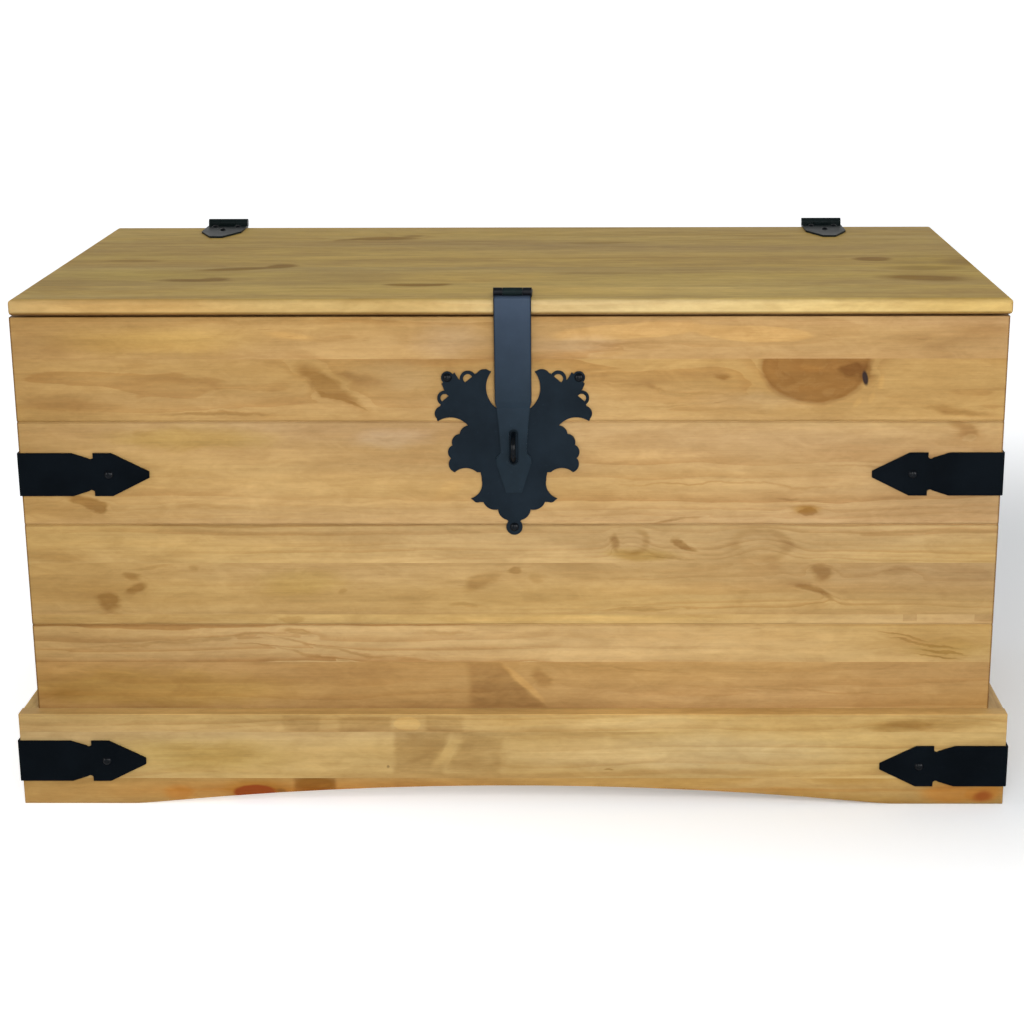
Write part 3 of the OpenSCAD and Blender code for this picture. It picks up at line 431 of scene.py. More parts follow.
    # end grain is darker, and drinks more wax
    dot = t.vec("DOT_PRODUCT", tc.outputs["Normal"], tuple(1.0 if i == order[0] else 0.0 for i in range(3)))
    end = t.span(t.math("ABSOLUTE", dot), 0.6, 0.85)
    if arris:  # painted shade on the two end arrises, where the rounded corners turn away from the light
        arris_shade = t.math("MULTIPLY", t.span(t.math("ABSOLUTE", qa), arris - 0.0018, arris - 0.0004), t.math("SUBTRACT", 1.0, end))
        col = t.mix(arris_shade, col, t.vec("MULTIPLY", col, (0.42, 0.36, 0.28)))
    endcol = t.vec("MULTIPLY", col, (0.74, 0.66, 0.56))
    endcol = t.mix(t.math("MULTIPLY", late, 0.55), endcol, t.vec("MULTIPLY", endcol, (0.70, 0.60, 0.50)))
    speck = t.span(t.noise(q, 1500, 1, 0.5, 3.0), 0.55, 0.75)
    endcol = t.mix(t.math("MULTIPLY", speck, 0.35), endcol, t.vec("MULTIPLY", endcol, (0.7, 0.62, 0.55)))
    col = t.mix(end, col, endcol)

    rough = t.math("MULTIPLY_ADD", late_seen, 0.06, 0.47)
    rough = t.math("MULTIPLY_ADD", cloud, 0.12, rough)
    rough = t.math("MULTIPLY_ADD", end, 0.16, rough)
    h = t.math("MULTIPLY_ADD", late_seen, 0.55, t.math("MULTIPLY", fibre, 0.55))
    h = t.math("MULTIPLY_ADD", fine, 0.25, h)
    h = t.math("MULTIPLY_ADD", pores, -0.8, h)
    return t.finish(col, rough, h, distance=0.00022, strength=0.55, Specular_IOR_Level=gloss)


def cut_plywood(name):
    """Rotary-cut face veneer with its edge plies."""
    t = Tree(name)
    tc = t.node("ShaderNodeTexCoord")
    p = tc.outputs["Object"]
    wave = t.noise(p, (1.6, 6, 6), 3, 0.55)
    ring = t.math("FRACT", t.math("MULTIPLY_ADD", wave, 26.0, t.math("MULTIPLY", t.noise(p, (3, 30, 30), 2), 1.5)))
    line = t.math("MULTIPLY", t.span(ring, 0.2, 0.85), t.span(ring, 1.0, 0.9))
    fibre = t.noise(p, (8, 500, 500), 2, 0.6, 3.0)
    col = t.mix(t.math("MULTIPLY", line, 0.5), (0.60, 0.44, 0.24), (0.50, 0.33, 0.16))
    col = t.scale_color(col, t.span(fibre, 0.25, 0.75, 0.94, 1.04, smooth=False))
    col = t.scale_color(col, t.span(t.noise(p, 4, 3, 0.5, 5.0), 0.3, 0.7, 0.93, 1.05))
    sep = t.node("ShaderNodeSeparateXYZ")
    t.put(sep.inputs[0], p)
    nrm = t.node("ShaderNodeSeparateXYZ")
    t.put(nrm.inputs[0], tc.outputs["Normal"])
    ply = t.math("GREATER_THAN", t.math("FRACT", t.math("MULTIPLY", sep.outputs[2], 1 / 0.0036)), 0.5)
    edge = t.span(t.math("ABSOLUTE", nrm.outputs[2]), 0.6, 0.3)
    col = t.mix(edge, col, t.mix(ply, (0.46, 0.31, 0.15), (0.30, 0.19, 0.09)))
    h = t.math("ADD", t.math("MULTIPLY", fibre, 0.7), t.math("MULTIPLY", line, 0.4))
    return t.finish(col, t.math("MULTIPLY_ADD", fibre, 0.1, 0.62), h, distance=0.0002, strength=0.5, Specular_IOR_Level=0.3)


def black_iron(name, tone=(0.0020, 0.0034, 0.0050), rough=0.46, hammer=0.3, seed=0.0, painted_sheen=None, specular=0.015):
    """Sheet iron under satin black lacquer: fine orange peel, faint hammer marks, rubbed and dusty places."""
    t = Tree(name)
    tc = t.node("ShaderNodeTexCoord")
    p = tc.outputs["Object"]
    peel = t.noise(p, 1500, 2, 0.5, seed + 1)
    dents = t.noise(p, 85, 2, 0.45, seed + 2)
    cloud = t.noise(p, 24, 4, 0.6, seed + 3)
    rub = t.span(t.noise(p, 260, 4, 0.65, seed + 4), 0.60, 0.78)
    scratch = t.span(t.noise(p, (60, 60, 1800), 2, 0.6, seed + 5), 0.70, 0.82)
    col = t.mix(t.span(cloud, 0.3, 0.7), tuple(0.82 * c for c in tone), tuple(1.22 * c for c in tone))
    col = t.mix(t.math("MULTIPLY", rub, 0.35), col, tuple(2.4 * c + 0.004 for c in tone))
    col = t.mix(t.math("MULTIPLY", scratch, 0.06), col, (0.05, 0.055, 0.06))
    if painted_sheen:
        sep = t.node("ShaderNodeSeparateXYZ")
        t.put(sep.inputs[0], p)
        # painted sheen: the strap is lighter and bluer towards its top, a painted reflection
        up = t.span(sep.outputs[2], *painted_sheen, smooth=False)
        up = t.math("POWER", up, 2.2)
        up = t.math("MULTIPLY", up, t.span(cloud, 0.2, 0.8, 0.80, 1.12))
        col = t.mix(up, col, (0.035, 0.052, 0.082))
        # painted shade: blacker along the two long edges, where the strap's sides are in shade
        side = t.math("ABSOLUTE", t.math("ADD", sep.outputs[0], -STRAP_X))
        side = t.math("MULTIPLY", t.span(side, STRAP_HALF - 0.0020, STRAP_HALF - 0.0007), t.span(sep.outputs[2], 0.36, 0.38))
        col = t.mix(side, col, (0.006, 0.009, 0.012))
        col = t.mix(t.math("GREATER_THAN", sep.outputs[2], BARREL_Z), col, (0.006, 0.007, 0.009))
    r = t.math("MULTIPLY_ADD", t.math("SUBTRACT", cloud, 0.5), 0.20, rough)
    r = t.math("MULTIPLY_ADD", rub, 0.10, r)
    r = t.math("MULTIPLY_ADD", t.math("SUBTRACT", peel, 0.5), 0.10, r)
    h = t.math("MULTIPLY_ADD", dents, hammer * 4.0, t.math("MULTIPLY", peel, 0.10))
    return t.finish(col, r, h, distance=0.00025, strength=0.6, Specular_IOR_Level=specular)


def zinc(name):
    """Zinc-plated pressed steel, brushed along its length, with a little bloom."""
    t = Tree(name)
    tc = t.node("ShaderNodeTexCoord")
    p = tc.outputs["Object"]
    brush = t.noise(p, (1200, 90, 90), 3, 0.6, 1.0)
    bloom = t.noise(p, 70, 4, 0.6, 2.0)
    fleck = t.noise(p, 420, 2, 0.5, 3.0)
    col = t.mix(t.span(bloom, 0.3, 0.7), (0.25, 0.26, 0.275), (0.38, 0.385, 0.385))
    col = t.mix(t.math("MULTIPLY", t.span(fleck, 0.62, 0.74), 0.35), col, (0.30, 0.30, 0.285))
    r = t.math("MULTIPLY_ADD", brush, 0.14, 0.34)
    r = t.math("MULTIPLY_ADD", bloom, 0.10, r)
    return t.finish(col, r, t.math("MULTIPLY_ADD", brush, 0.4, t.math("MULTIPLY", fleck, 0.3)), distance=0.00008, strength=0.5, Metallic=1.0)


# ---------------------------------------------------------------- knots and patches of each board, in mm
FEATS = {
    "front_board_4": [
        ("dark", -398, 375, 58.9, 15.4, 0, 0.38, 0.2, 0),
        ("yel", -317, 432, 123.7, 21.4, 0, 0.7, 0.2, 1),
        ("pale", -52, 435, 45.8, 23.0, 0, 0.75, 0.2, 1),
        ("pale", -101, 403, 54.9, 19.7, 0, 0.5, 0.2, 0),
        ("pale", 227, 378, 79.8, 12.6, 0, 0.5, 0.2, 0),
        # painted shadow of the lid's overhang along the top of the board
        ("block", 3, 455, 490.6, 1.8, 0, 0.5, 0.5, 1),
        ("slab", 3, 453, 490.7, 2.7, 0, 0.25, 0.5, 1),
        ("pale", 58, 429, 52.9, 12.4, 0, 0.6, 0.3, 1),
        ("dark", 418, 442, 39.4, 12.4, 0, 0.4, 0.2, 1),
        ("light", -193, 437, 30.0, 4.4, -6, 0.8, 0.35, 1),
        ("light", -317, 431, 114.9, 11.6, 0, 0.45, 0.2, 1),
        ("light", 105, 441, 77.3, 8.0, 3, 1.0, 0.75, 1),
        ("light", 214, 439, 59.7, 8.0, -3, 1.1, 0.8, 1),
        ("light", 72, 421, 52.9, 3.6, 0, 0.6, 0.4, 1),
        ("dark", 98, 428, 48.4, 2.7, -3, 0.35, 0.3, 1),
        ("dark", -183, 450, 184.7, 3.5, 0, 0.25, 0.3, 1),
        ("dark", -156, 392, 39.1, 10.8, -38, 0.9, 0.45, 0),
        ("dark", -136, 400, 21.3, 8.1, -12, 0.45, 0.4, 0),
        ("dark", -146, 379, 23.1, 2.2, -27, 0.7, 0.4, 0),
        ("dark", -260, 367, 69.6, 2.4, 0, 0.55, 0.3, 0),
        ("dark", -345, 409, 53.2, 3.6, 0, 0.12, 0.3, 0),
        ("light", 254, 373, 53.2, 7.2, 0, 0.5, 0.2, 0),
        ("dark", 187, 403, 8.8, 3.6, -8, 1.0, 0.2, 0),
        ("light", 206, 399, 35.3, 14.3, 0, 0.45, 0.3, 0),
        ("knot", 270, 413, 50.7, 37.3, -4, 1.1, 0.9, 0),
        ("light", 268, 407, 17.6, 4.5, -5, 0.55, 0.3, 0),
        ("dark", 312, 404, 13.2, 11.6, 0, 0.55, 0.4, 0),
        ("core", 315, 399, 3.2, 8.5, 11, 1.0, 0.55, 0),
        ("dark", 320, 399, 7.9, 12.5, 0, 0.6, 0.3, 0),
        ("dark", 305, 406, 12.3, 7.2, 0, 1.2, 0.35, 0),
        ("light", 329, 395, 3.5, 9.9, -8, 0.7, 0.3, 0),
        ("light", 309, 377, 3.5, 8.1, -35, 0.6, 0.3, 0),
        ("light", 321, 381, 2.7, 8.1, -25, 0.5, 0.3, 0),
        ("dark", 151, 387, 62.0, 2.0, -6, 0.35, 0.3, 0),
        ("dark", 160, 376, 71.0, 1.8, 3, 0.3, 0.3, 0),
        ("dark", 396, 368, 42.5, 5.4, -5, 0.7, 0.3, 0),
        ("dark", 379, 436, 74.5, 17.7, 0, 0.3, 0.2, 1),
    ],
    "front_board_3": [
        ("yel", -290, 346, 102.9, 14.6, 0, 1.0, 0.3, None),
        ("dark", -290, 346, 102.9, 14.6, 0, 0.28, 0.3, None),
        ("pale", -105, 345, 46.5, 13.7, 0, 0.9, 0.3, None),
        ("dark", -409, 277, 57.9, 13.1, 0, 0.5, 0.2, None),
        ("dark", 351, 277, 98.8, 11.2, 0, 0.3, 0.2, None),
        ("dark", 130, 345, 66.9, 11.8, 0, 0.25, 0.2, None),
        ("dark", -378, 284, 17.2, 9.3, -24, 1.1, 0.55, None),
        ("dark", 267, 279, 9.9, 4.6, -6, 1.2, 0.4, None),
        ("amber", 266, 280, 15.3, 5.6, 0, 0.8, 0.3, None),
        ("dark", 266, 281, 21.6, 6.5, 0, 0.5, 0.2, None),
        ("dark", 247, 291, 10.8, 1.9, 3, 0.6, 0.3, None),
        ("dark", 151, 272, 30.6, 2.2, 12, 0.6, 0.3, None),
        ("dark", 403, 351, 19.5, 8.2, -35, 0.6, 0.3, None),
        ("dark", 188, 302, 125.5, 1.3, 0, 0.5, 0.3, None),
        ("dark", -327, 352, 15.2, 3.7, 0, 0.4, 0.3, None),
        ("light", -57, 297, 18.0, 9.3, 25, 0.4, 0.3, None),
        ("dark", -269, 281, 50.6, 3.7, 0, 0.3, 0.3, None),
        ("light", 116, 329, 80.4, 12.8, 0, 0.3, 0.2, None),
        ("dark", 313, 317, 53.6, 1.8, -5, 0.3, 0.3, None),
    ],
    "front_board_2": [
        ("dark", -417, 236, 52.8, 9.5, 0, 0.65, 0.2, 2),
        ("dark", -319, 236, 63.7, 7.6, 0, 0.3, 0.2, 2),
        ("dark", -384, 208, 96.0, 24.7, 0, 0.4, 0.15, 1),
        ("dark", 114, 238, 43.5, 8.5, 0, 0.55, 0.3, 2),
        ("yel", 114, 238, 47.1, 9.4, 0, 0.9, 0.3, 2),
        ("eye", 110, 250, 17.2, 12.2, 8, 0.6, 0.8, 2),
        ("dark", 161, 246, 11.8, 3.8, -33, 1.2, 0.35, 2),
        ("dark", 96, 250, 6.3, 11.2, 0, 0.7, 0.3, 2),
        ("eye", 226, 246, 27.1, 15.9, -4, 0.45, 0.7, 2),
        ("dark", 143, 234, 30.8, 1.7, -10, 0.5, 0.3, 2),
        ("dark", 334, 258, 81.1, 1.9, 2, 0.25, 0.3, 2),
        ("light", -236, 248, 163.3, 11.3, 0, 0.25, 0.3, 2),
        ("dark", -370, 194, 18.3, 9.6, -25, 1.0, 0.5, 1),
        ("dark", -348, 218, 12.8, 5.7, -15, 0.75, 0.3, 1),
        ("dark", -344, 205, 16.5, 6.7, 14, 0.8, 0.4, 1),
        ("dark", -329, 225, 21.9, 2.8, 0, 0.5, 0.3, 1),
        ("dark", -290, 222, 10.9, 2.8, 8, 0.4, 0.3, 1),
        ("yel", -192, 210, 56.6, 16.1, 0, 0.7, 0.3, 1),
        ("dark", -152, 201, 4.6, 3.8, 0, 0.5, 0.3, 1),
        ("dark", -197, 176, 16.5, 4.8, 0, 0.5, 0.6, 0),
        ("dark", -22, 211, 21.9, 11.4, 28, 0.65, 0.35, 1),
        ("dark", -38, 187, 21.9, 2.9, -4, 0.5, 0.3, 1),
        ("dark", 4, 223, 10.9, 4.7, 0, 0.8, 0.5, 1),
        ("dark", 27, 216, 12.7, 6.6, 0, 0.45, 0.3, 1),
        ("dark", 282, 221, 13.6, 9.5, 24, 0.9, 0.45, 1),
        ("dark", 274, 204, 20.0, 4.8, -27, 1.0, 0.4, 1),
        ("dark", 347, 221, 19.9, 6.6, 8, 0.45, 0.35, 1),
        ("dark", 279, 190, 14.6, 4.8, 0, 0.3, 0.3, 1),
        ("block", 364, 177, 6.4, 3.8, 0, 0.6, 0.9, 0),
        ("block", 432, 177, 9.1, 3.8, 0, 0.55, 0.9, 0),
        ("dark", 118, 184, 42.0, 2.1, 0, 0.5, 0.3, 1),
        ("light", 44, 176, 182.8, 3.1, 0, 0.35, 0.6, 0),
    ],
    "front_board_1": [
        ("yel", -312, 107, 157.5, 25.4, 0, 1.0, 0.3, 0),
        ("yel", -391, 111, 83.5, 25.4, 0, 0.6, 0.3, 0),
        ("dark", -428, 107, 57.6, 23.5, 0, 0.5, 0.2, 0),
        ("dark", 388, 152, 86.9, 19.3, 0, 0.5, 0.25, 1),
        ("yel", 402, 146, 64.1, 13.5, 0, 0.6, 0.2, 1),
        ("light", -332, 161, 119.6, 8.7, 0, 0.35, 0.2, 1),
        ("dark", -194, 163, 19.3, 3.9, -10, 0.7, 0.4, 1),
        ("dark", -58, 165, 29.4, 2.9, 0, 0.35, 0.3, 1),
        ("dark", -167, 149, 84.7, 2.1, -9, 0.5, 0.3, 1),
        ("dark", -296, 155, 128.8, 2.1, 5, 0.4, 0.3, 1),
        ("dark", -195, 143, 101.3, 1.6, -8, 0.4, 0.3, 1),
        ("dark", 379, 152, 42.1, 1.6, -11, 1.0, 0.3, 1),
        ("dark", 395, 144, 33.0, 1.7, -9, 1.1, 0.3, 1),
        ("dark", 360, 160, 32.9, 1.4, -12, 0.8, 0.3, 1),
        ("dark", 390, 139, 31.2, 1.4, -6, 1.0, 0.3, 1),
        ("light", 191, 160, 146.4, 9.6, 0, 0.35, 0.3, 1),
        ("slab", -5, 111, 37.0, 23.4, 0, 0.88, 0.7, 0),
        ("cut", 27, 122, 55.3, 23.3, -41, 1.2, 0.75, 0),
        ("light", 10, 114, 33.2, 4.4, -41, 0.9, 0.45, 0),
        ("dark", 26, 119, 20.3, 8.8, -38, 0.7, 0.4, 0),
        ("dark", -336, 105, 129.8, 17.7, 0, 0.4, 0.3, 0),
        ("dark", 100, 128, 82.8, 1.9, -3, 0.35, 0.3, 0),
        ("dark", 266, 107, 138.2, 1.6, -2, 0.3, 0.3, 0),
    ],
    "plinth_front": [
        ("light", 81, 54, 138.4, 21.6, 0, 0.65, 0.2, 1),
        ("orange", -179, 15, 278.8, 15.0, 0, 0.55, 0.2, 0),
        ("pale", 248, 19, 101.8, 9.9, 0, 1.0, 0.3, 0),
        ("dark", 375, 80, 87.1, 8.8, 0, 0.75, 0.2, 2),
        ("yel", -308, 49, 139.0, 25.7, 0, 0.9, 0.2, 1),
        ("dark", -285, 46, 69.5, 19.8, 0, 0.3, 0.2, 1),
        ("dark", 164, 80, 91.8, 8.8, 0, 0.25, 0.2, 2),
        ("slab", -194, 80, 16.6, 7.8, 0, 0.5, 0.8, 2),
        ("slab", -136, 80, 24.9, 7.8, 0, 0.65, 0.85, 2),
        ("light", -97, 80, 13.8, 6.9, 0, 0.7, 0.85, 2),
        ("slab", -62, 80, 18.4, 7.8, -4, 0.6, 0.6, 2),
        ("slab", -74, 74, 42.4, 3.9, 0, 0.3, 0.5, 2),
        ("dark", 357, 76, 36.7, 8.8, 0, 0.5, 0.4, 2),
        ("light", 44, 82, 82.7, 6.8, 0, 0.35, 0.5, 2),
        ("slab", -85, 51, 25.0, 21.7, -3, 0.85, 0.8, 1),
        ("slab", -33, 51, 24.0, 19.7, -6, 0.65, 0.6, 1),
        ("cut", -60, 50, 29.6, 8.9, 52, 0.8, 0.2, 1),
        ("light", -62, 50, 25.9, 5.9, 52, 0.35, 0.2, 1),
        ("dark", -66, 69, 42.4, 3.9, 0, 0.3, 0.3, 1),
        ("dark", -11, 47, 12.9, 16.8, -30, 0.3, 0.3, 1),
        ("dark", 89, 34, 6.5, 1.2, 0, 0.8, 0.3, 1),
        ("core2", -115, 38, 1.9, 2.0, 0, 0.8, 0.3, 1),
        ("pale", 155, 51, 230.4, 25.6, 0, 0.95, 0.2, 1),
        ("pale", 118, 80, 137.8, 9.8, 0, 0.5, 0.2, 2),
        ("pale", 364, 15, 101.8, 11.9, 0, 0.8, 0.3, 0),
        ("dark", -275, 52, 55.6, 15.8, 5, 0.35, 0.2, 1),
        ("red", -239, 12, 22.4, 9.0, 0, 1.15, 0.7, 0),
        ("amber", -239, 16, 39.1, 13.0, 0, 0.75, 0.4, 0),
        ("slab", -185, 20, 20.5, 8.0, 0, 1.1, 0.7, 0),
        ("amber", -185, 20, 22.3, 9.0, 0, 0.9, 0.6, 0),
        ("core2", -215, 14, 6.5, 3.0, -8, 0.6, 0.3, 0),
        ("core2", -261, 7, 9.3, 2.0, 4, 0.6, 0.3, 0),
        ("orange", 406, 12, 35.2, 13.0, 0, 0.8, 0.45, 0),
        ("red", 435, 9, 13.0, 7.0, 12, 0.8, 0.3, 0),
        ("orange", 438, 12, 22.2, 11.0, 8, 0.9, 0.4, 0),
        ("orange", -310, 12, 20.5, 10.0, 0, 0.5, 0.4, 0),
        ("orange", 44, 15, 463.2, 3.0, 0, 0.4, 0.5, 0),
    ],
    "lid_board_1": [
        ("orange", -340, -235, 150, 14, 0, 0.30, 0.2, None),
        ("pale", 100, -235, 210, 14, 0, 0.95, 0.3, None),
        ("pale", 300, -235, 110, 14, 0, 0.5, 0.2, None),
        ("light", 125, -188, 205.1, 31.3, 0, 0.8, 0.2, None),
        ("dark", -410, -157, 54.8, 54.7, 0, 0.35, 0.2, None),
        ("dark", -86, -154, 34.6, 10.5, -3, 1.9, 0.4, None),
        ("light", 45, -168, 54.2, 17.3, 0, 0.3, 0.3, None),
        ("dark", -163, -171, 45.2, 5.7, 0, 0.4, 0.3, None),
        ("pale", 206, -192, 204.5, 39.9, 0, 0.75, 0.2, None),
    ],
    "lid_board_2": [
        ("yel", -349, -99, 117.3, 57.5, 0, 0.75, 0.2, None),
        ("yel", 406, -19, 81.8, 89.5, 0, 1.0, 0.2, None),
        ("dark", 392, -107, 64.7, 43.6, 0, 0.3, 0.2, None),
        ("light", -40, -105, 125.7, 49.7, 0, 1.1, 0.2, None),
        ("light", 125, -188, 205.1, 31.3, 0, 0.8, 0.2, None),
        ("dark", -410, -157, 54.8, 54.7, 0, 0.35, 0.2, None),
        ("dark", -296, -81, 85.1, 31.9, 0, 0.18, 0.2, None),
        ("dark", -297, -126, 44.5, 13.4, 0, 1.2, 0.3, None),
        ("dark", -275, -117, 16.7, 11.0, 6, 1.0, 0.3, None),
        ("dark", -86, -154, 34.6, 10.5, -3, 1.9, 0.4, None),
        ("dark", -63, -150, 14.6, 5.8, 0, 0.8, 0.3, None),
        ("dark", 381, -119, 57.0, 22.0, -9, 1.1, 0.3, None),
        ("light", 45, -168, 54.2, 17.3, 0, 0.3, 0.3, None),
        ("dark", -261, -56, 55.4, 12.9, 15, 1.1, 0.35, None),
        ("dark", -223, -37, 19.3, 17.1, 36, 1.3, 0.35, None),
        ("dark", 390, -57, 56.8, 19.3, 0, 0.65, 0.3, None),
        ("dark", 81, -85, 75.1, 8.7, 0, 0.35, 0.3, None),
        ("pale", 44, -78, 188.2, 44.4, 0, 0.3, 0.1, None),
        ("dark", 435, -19, 38.5, 40.5, 0, 0.6, 0.2, None),
        ("pale", 206, -192, 204.5, 39.9, 0, 0.75, 0.2, None),
    ],
    "lid_board_3": [
        ("yel", -349, -99, 117.3, 57.5, 0, 0.75, 0.2, None),
        ("yel", -374, 31, 94.5, 57.3, 0, 0.5, 0.2, None),
        ("yel", 406, -19, 81.8, 89.5, 0, 1.0, 0.2, None),
        ("light", 72, 39, 257.6, 56.6, 0, 0.35, 0.2, None),
        ("dark", -261, -56, 55.4, 12.9, 15, 1.1, 0.35, None),
        ("dark", -223, -37, 19.3, 17.1, 36, 1.3, 0.35, None),
        ("dark", 390, -57, 56.8, 19.3, 0, 0.65, 0.3, None),
        ("pale", 44, -78, 188.2, 44.4, 0, 0.3, 0.1, None),
        ("dark", -374, -3, 41.2, 12.3, 3, 0.7, 0.3, None),
        ("dark", 348, 2, 23.3, 16.3, -6, 1.4, 0.4, None),
        ("dark", 121, 11, 107.7, 8.1, 0, 0.3, 0.3, None),
        ("dark", 435, -19, 38.5, 40.5, 0, 0.6, 0.2, None),
    ],
    "lid_board_4": [
        ("light", 72, 39, 257.6, 56.6, 0, 0.35, 0.2, None),
        ("dark", -141, 154, 43.9, 17.0, 6, 1.1, 0.4, None),
        ("dark", 83, 118, 45.2, 11.9, 6, 0.6, 0.4, None),
        ("dark", -114, 173, 16.9, 12.5, 12, 0.7, 0.3, None),
        ("dark", 251, 168, 52.3, 9.3, 0, 0.4, 0.3, None),
        ("dark", -177, 144, 22.9, 10.7, 30, 0.6, 0.3, None),
    ],
}

FRONT_TONE = (0.406, 0.2590, 0.1060)
LID_TONE = (0.520, 0.355, 0.093)
PLINTH_TONE = (0.406, 0.279, 0.1180)
FRAME_TONE = (0.46, 0.32, 0.15)

LEFT_END_SHADE = (0.89, 0.85, 0.73)
LID_DARK = (0.58, 0.465, 0.10)
BARREL_Z = LID_TOP + 0.0026
_lo, _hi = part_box("hasp_strap")
STRAP_X = (_lo.x + _hi.x) / 2
STRAP_HALF = (_hi.x - _lo.x) / 2


def strewn(seed, axes, node, count):
    """Knots, ghost knots and dark patches for a board that the main view doesn't show, in mm, seeded by the board."""
    rnd = random.Random(seed)
    lo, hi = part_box(node)
    a, c = AXES[axes][0], AXES[axes][1]
    rows = []
    for _ in range(count):
        x = 1000 * (lo[a] + (hi[a] - lo[a]) * rnd.uniform(0.05, 0.95))
        z = 1000 * (lo[c] + (hi[c] - lo[c]) * rnd.uniform(0.12, 0.88))
        kind = rnd.choice(["dark", "dark", "dark", "light", "eye", "knot", "core2"])
        if kind == "knot":
            hx = rnd.uniform(9, 19)
            rows.append(("knot", x, z, hx, hx * rnd.uniform(0.6, 0.9), rnd.uniform(-15, 15), rnd.uniform(0.8, 1.0), 0.85, None))
            rows.append(("core", x + hx * 0.2, z, hx * 0.13, hx * 0.2, rnd.uniform(-40, 40), 0.8, 0.4, None))
        elif kind == "core2":
            rows.append(("core2", x, z, rnd.uniform(4, 8), rnd.uniform(2, 3.4), rnd.uniform(-15, 15), 0.8, 0.3, None))
            rows.append(("dark", x, z, rnd.uniform(14, 22), rnd.uniform(5, 7), rnd.uniform(-8, 8), 0.5, 0.2, None))
        else:
            rows.append((kind, x, z, rnd.uniform(14, 46), rnd.uniform(3, 11), rnd.uniform(-22, 22), rnd.uniform(0.4, 0.8), rnd.uniform(0.3, 0.6), None))
    return rows


def use(node, mat):
    o = NODES[node]
    o.data.materials.clear()
    o.data.materials.append(mat)
    for poly in o.data.polygons:
        poly.material_index = 0


def tinted(tone, k):
    return tuple(c * m for c, m in zip(tone, k))


def mid(node):
    lo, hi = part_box(node)
    return (lo + hi) / 2


def wall(node, axes, seed, tone, **kw):
    c = mid(node)
    order = AXES[axes]
    use(node, pine("wood_" + node, axes, seed, tone, (c[order[1]], c[order[2]]), feats=FEATS.get(node) or strewn(seed, axes, node, 7), **kw))


wall("front_board_4", "front", 3.1, lean=LEFT_END_SHADE, arris=SIDE, tone=tinted(FRONT_TONE, (0.91, 0.905, 0.895)), glue=(0.4165,), tones=[(0.94, 0.92, 0.90), (1.0, 0.98, 1.0)],
     pith=(-0.015, 0.085), gap=0.0075, rings=0.75)
wall("front_board_3", "front", 7.7, lean=LEFT_END_SHADE, arris=SIDE, tone=tinted(FRONT_TONE, (0.93, 0.93, 0.955)), pith=(0.030, 0.060), gap=0.0060, rings=0.65)
wall("front_board_2", "front", 12.4, lean=LEFT_END_SHADE, arris=SIDE, tone=tinted(FRONT_TONE, (0.90, 0.915, 0.92)), glue=(0.180, 0.229), tones=[(1.06, 1.08, 1.08), (1.0, 1.0, 1.0), (1.10, 1.12, 1.08)],
     pith=(-0.02, 0.070), gap=0.0070, rings=0.6)
wall("front_board_1", "front", 17.9, lean=LEFT_END_SHADE, arris=SIDE, tone=tinted(FRONT_TONE, (0.945, 0.965, 0.965)), glue=(0.134,), tones=[(1.01, 0.94, 0.86), (1.10, 1.10, 1.05)],
     pith=(0.012, 0.055), gap=0.0085, rings=1.1)
for i in range(1, 5):
    k = 0.97 + 0.02 * ((i * 7) % 4)
    wall(f"back_board_{i}", "front", 21.0 + 4.3 * i, tinted(FRONT_TONE, (k, k, k)), glue=(mid(f"back_board_{i}").z + 0.009 * (-1) ** i,),
         tones=[(1.0, 1.0, 1.0), (0.95, 0.94, 0.93)], pith=(0.01 * (-1) ** i, 0.07), gap=0.0068)
    for side, s in (("left", -1), ("right", 1)):
        k = 0.96 + 0.025 * ((i * 5 + s) % 4)
        wall(f"{side}_board_{i}", "side", 40.0 + 3.7 * i + 11 * s, tinted(FRONT_TONE, (k, k * 1.01, k)), pith=(0.014 * (-1) ** i, 0.065 * s), gap=0.0066)

PALE = (1.0, 1.0, 1.0)
wall("lid_board_1", "lid", 5.3, LID_TONE, under_tint=(0.88, 0.85, 1.28), dark=LID_DARK, calm=0.4, streak=0.45, edge_tint=(0.885, 0.905, 1.32), pith=(0.01, -0.06), gap=0.0065, rings=0.4, gloss=0.055, warp=0.3)
wall("lid_board_2", "lid", 9.1, tinted(LID_TONE, (0.955, 0.96, 0.95)), under_tint=(0.88, 0.85, 1.28), dark=LID_DARK, calm=0.4, streak=0.45, pith=(-0.02, -0.07), gap=0.007, rings=0.4, gloss=0.055, warp=0.3)
wall("lid_board_3", "lid", 14.6, tinted(LID_TONE, (1.0, 0.99, 0.97)), under_tint=(0.88, 0.85, 1.28), dark=LID_DARK, calm=0.4, streak=0.45, glue=(0.028,), tones=[PALE, (0.97, 0.965, 0.96)], pith=(0.02, -0.08), gap=0.0062, rings=0.35, gloss=0.055, warp=0.3)
wall("lid_board_4", "lid", 19.2, tinted(LID_TONE, (0.97, 0.965, 0.96)), under_tint=(0.88, 0.85, 1.28), dark=LID_DARK, calm=0.4, streak=0.45, glue=(0.172,), tones=[PALE, (1.02, 1.02, 1.03)], pith=(-0.01, -0.075), gap=0.0065, rings=0.35, gloss=0.055, warp=0.3)

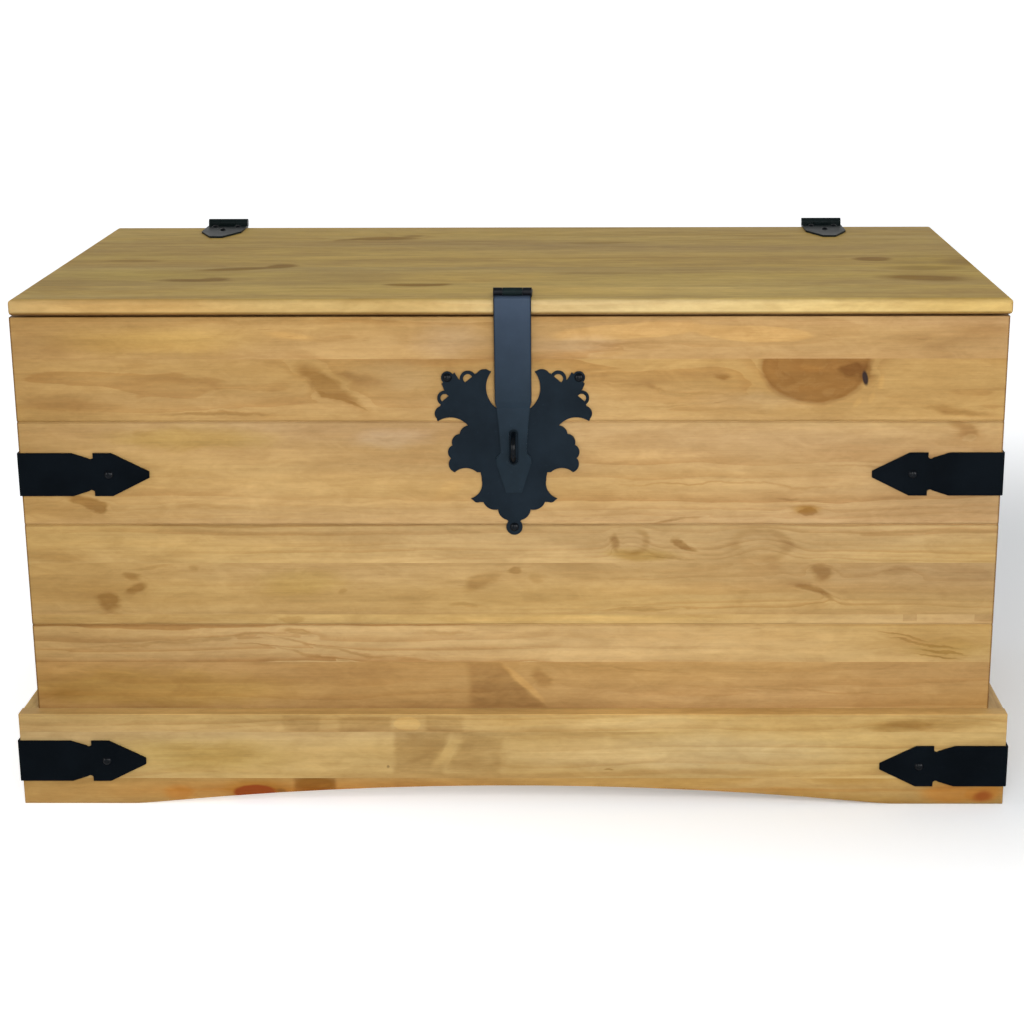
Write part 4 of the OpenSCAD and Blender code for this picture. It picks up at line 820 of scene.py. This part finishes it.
wall("plinth_front", "front", 2.2, PLINTH_TONE, top_tint=(1.45, 1.42, 1.42), glue=(0.0265, 0.072), tones=[(0.86, 0.74, 0.50), (1.0, 1.0, 1.02), (0.97, 0.95, 0.95)],
     pith=(0.01, 0.06), gap=0.0075, rings=0.6)
wall("plinth_back", "front", 33.3, PLINTH_TONE, top_tint=(1.4, 1.4, 1.4), glue=(0.040,), tones=[PALE, (0.94, 0.92, 0.9)], pith=(0.01, 0.06), gap=0.007)
wall("plinth_left", "side", 36.1, PLINTH_TONE, top_tint=(1.4, 1.4, 1.4), glue=(0.048,), tones=[(0.95, 0.92, 0.88), PALE], pith=(0.01, -0.06), gap=0.007)
wall("plinth_right", "side", 38.8, PLINTH_TONE, top_tint=(1.4, 1.4, 1.4), glue=(0.036,), tones=[(0.95, 0.92, 0.88), PALE], pith=(0.01, 0.06), gap=0.007)

for k, n in enumerate(("post_front_left", "post_front_right", "post_back_left", "post_back_right")):
    c = mid(n)
    use(n, pine("wood_" + n, "post", 51.0 + 3.1 * k, FRAME_TONE, (c.x, c.y), pith=(0.03, 0.04), gap=0.004))
for k, n in enumerate(("cleat_front", "cleat_back")):
    c = mid(n)
    use(n, pine("wood_" + n, "front", 61.0 + 3.1 * k, FRAME_TONE, (c.z, c.y), pith=(0.03, 0.03), gap=0.004))
for k, n in enumerate(("cleat_left", "cleat_right")):
    c = mid(n)
    use(n, pine("wood_" + n, "side", 66.0 + 3.1 * k, FRAME_TONE, (c.z, c.x), pith=(0.03, 0.03), gap=0.004))
for k, n in enumerate(("lid_batten_left", "lid_batten_right")):
    c = mid(n)
    use(n, pine("wood_" + n, "batten", 71.0 + 3.1 * k, FRAME_TONE, (c.x, c.z), pith=(0.02, 0.05), gap=0.0045))
use("bottom_panel", cut_plywood("plywood"))

IRON = black_iron("black_iron")
IRON_SHEEN = black_iron("black_iron_strap", tone=(0.0070, 0.0142, 0.0212), rough=0.38, hammer=0.15, seed=3.0, painted_sheen=(0.31, 0.472), specular=0.07)
IRON_HINGE = black_iron("black_iron_hinge", tone=(0.0068, 0.0115, 0.0118), rough=0.36, hammer=0.25, seed=5.0, specular=0.03)
IRON_PLATE = black_iron("black_iron_plate", tone=(0.0067, 0.0114, 0.0166), rough=0.46, hammer=0.25, seed=9.0, specular=0.03)
IRON_GLOSS = black_iron("black_iron_nails", tone=(0.0018, 0.0030, 0.0046), rough=0.15, hammer=0.1, seed=6.0, specular=0.09)
ZINC = zinc("zinc_steel")
for n in ("body_strap_left", "body_strap_right", "plinth_strap_left", "plinth_strap_right"):
    use(n, IRON)
for n in ("hinge_body_leaf_left", "hinge_body_leaf_right", "hinge_lid_leaf_left", "hinge_lid_leaf_right", "hasp_leaf"):
    use(n, IRON_HINGE)
use("hasp_strap", IRON_SHEEN)
use("hasp_plate", IRON_PLATE)
for n in ("staple", "strap_nails", "plate_nails", "hinge_pins", "hasp_pin", "body_hardware_screws", "lid_hardware_screws"):
    use(n, IRON_GLOSS)
for n in ("cleat_screws", "batten_screws", "stay_guide", "stay_bracket", "stay_arm"):
    use(n, ZINC)


# ---------------------------------------------------------------- softened edges
def soften(node, width, segments=2, angle=35):
    o = NODES[node]
    w = o.modifiers.new("weld", "WELD")
    w.merge_threshold = 0.00001
    b = o.modifiers.new("bevel", "BEVEL")
    b.limit_method = "ANGLE"
    b.angle_limit = math.radians(angle)
    b.width = width
    b.segments = segments
    b.use_clamp_overlap = True
    b.harden_normals = True
    b.miter_outer = "MITER_ARC"


if True:
    for n in NODES:
        slot = next(s["material_slot"] for s in frame["record"]["subparts"] if s["node"] == n)
        if slot.startswith("pine"):
            soften(n, 0.0009, 2)
        elif n in ("body_strap_left", "body_strap_right", "plinth_strap_left", "plinth_strap_right", "hasp_plate"):
            soften(n, 0.00045, 2)
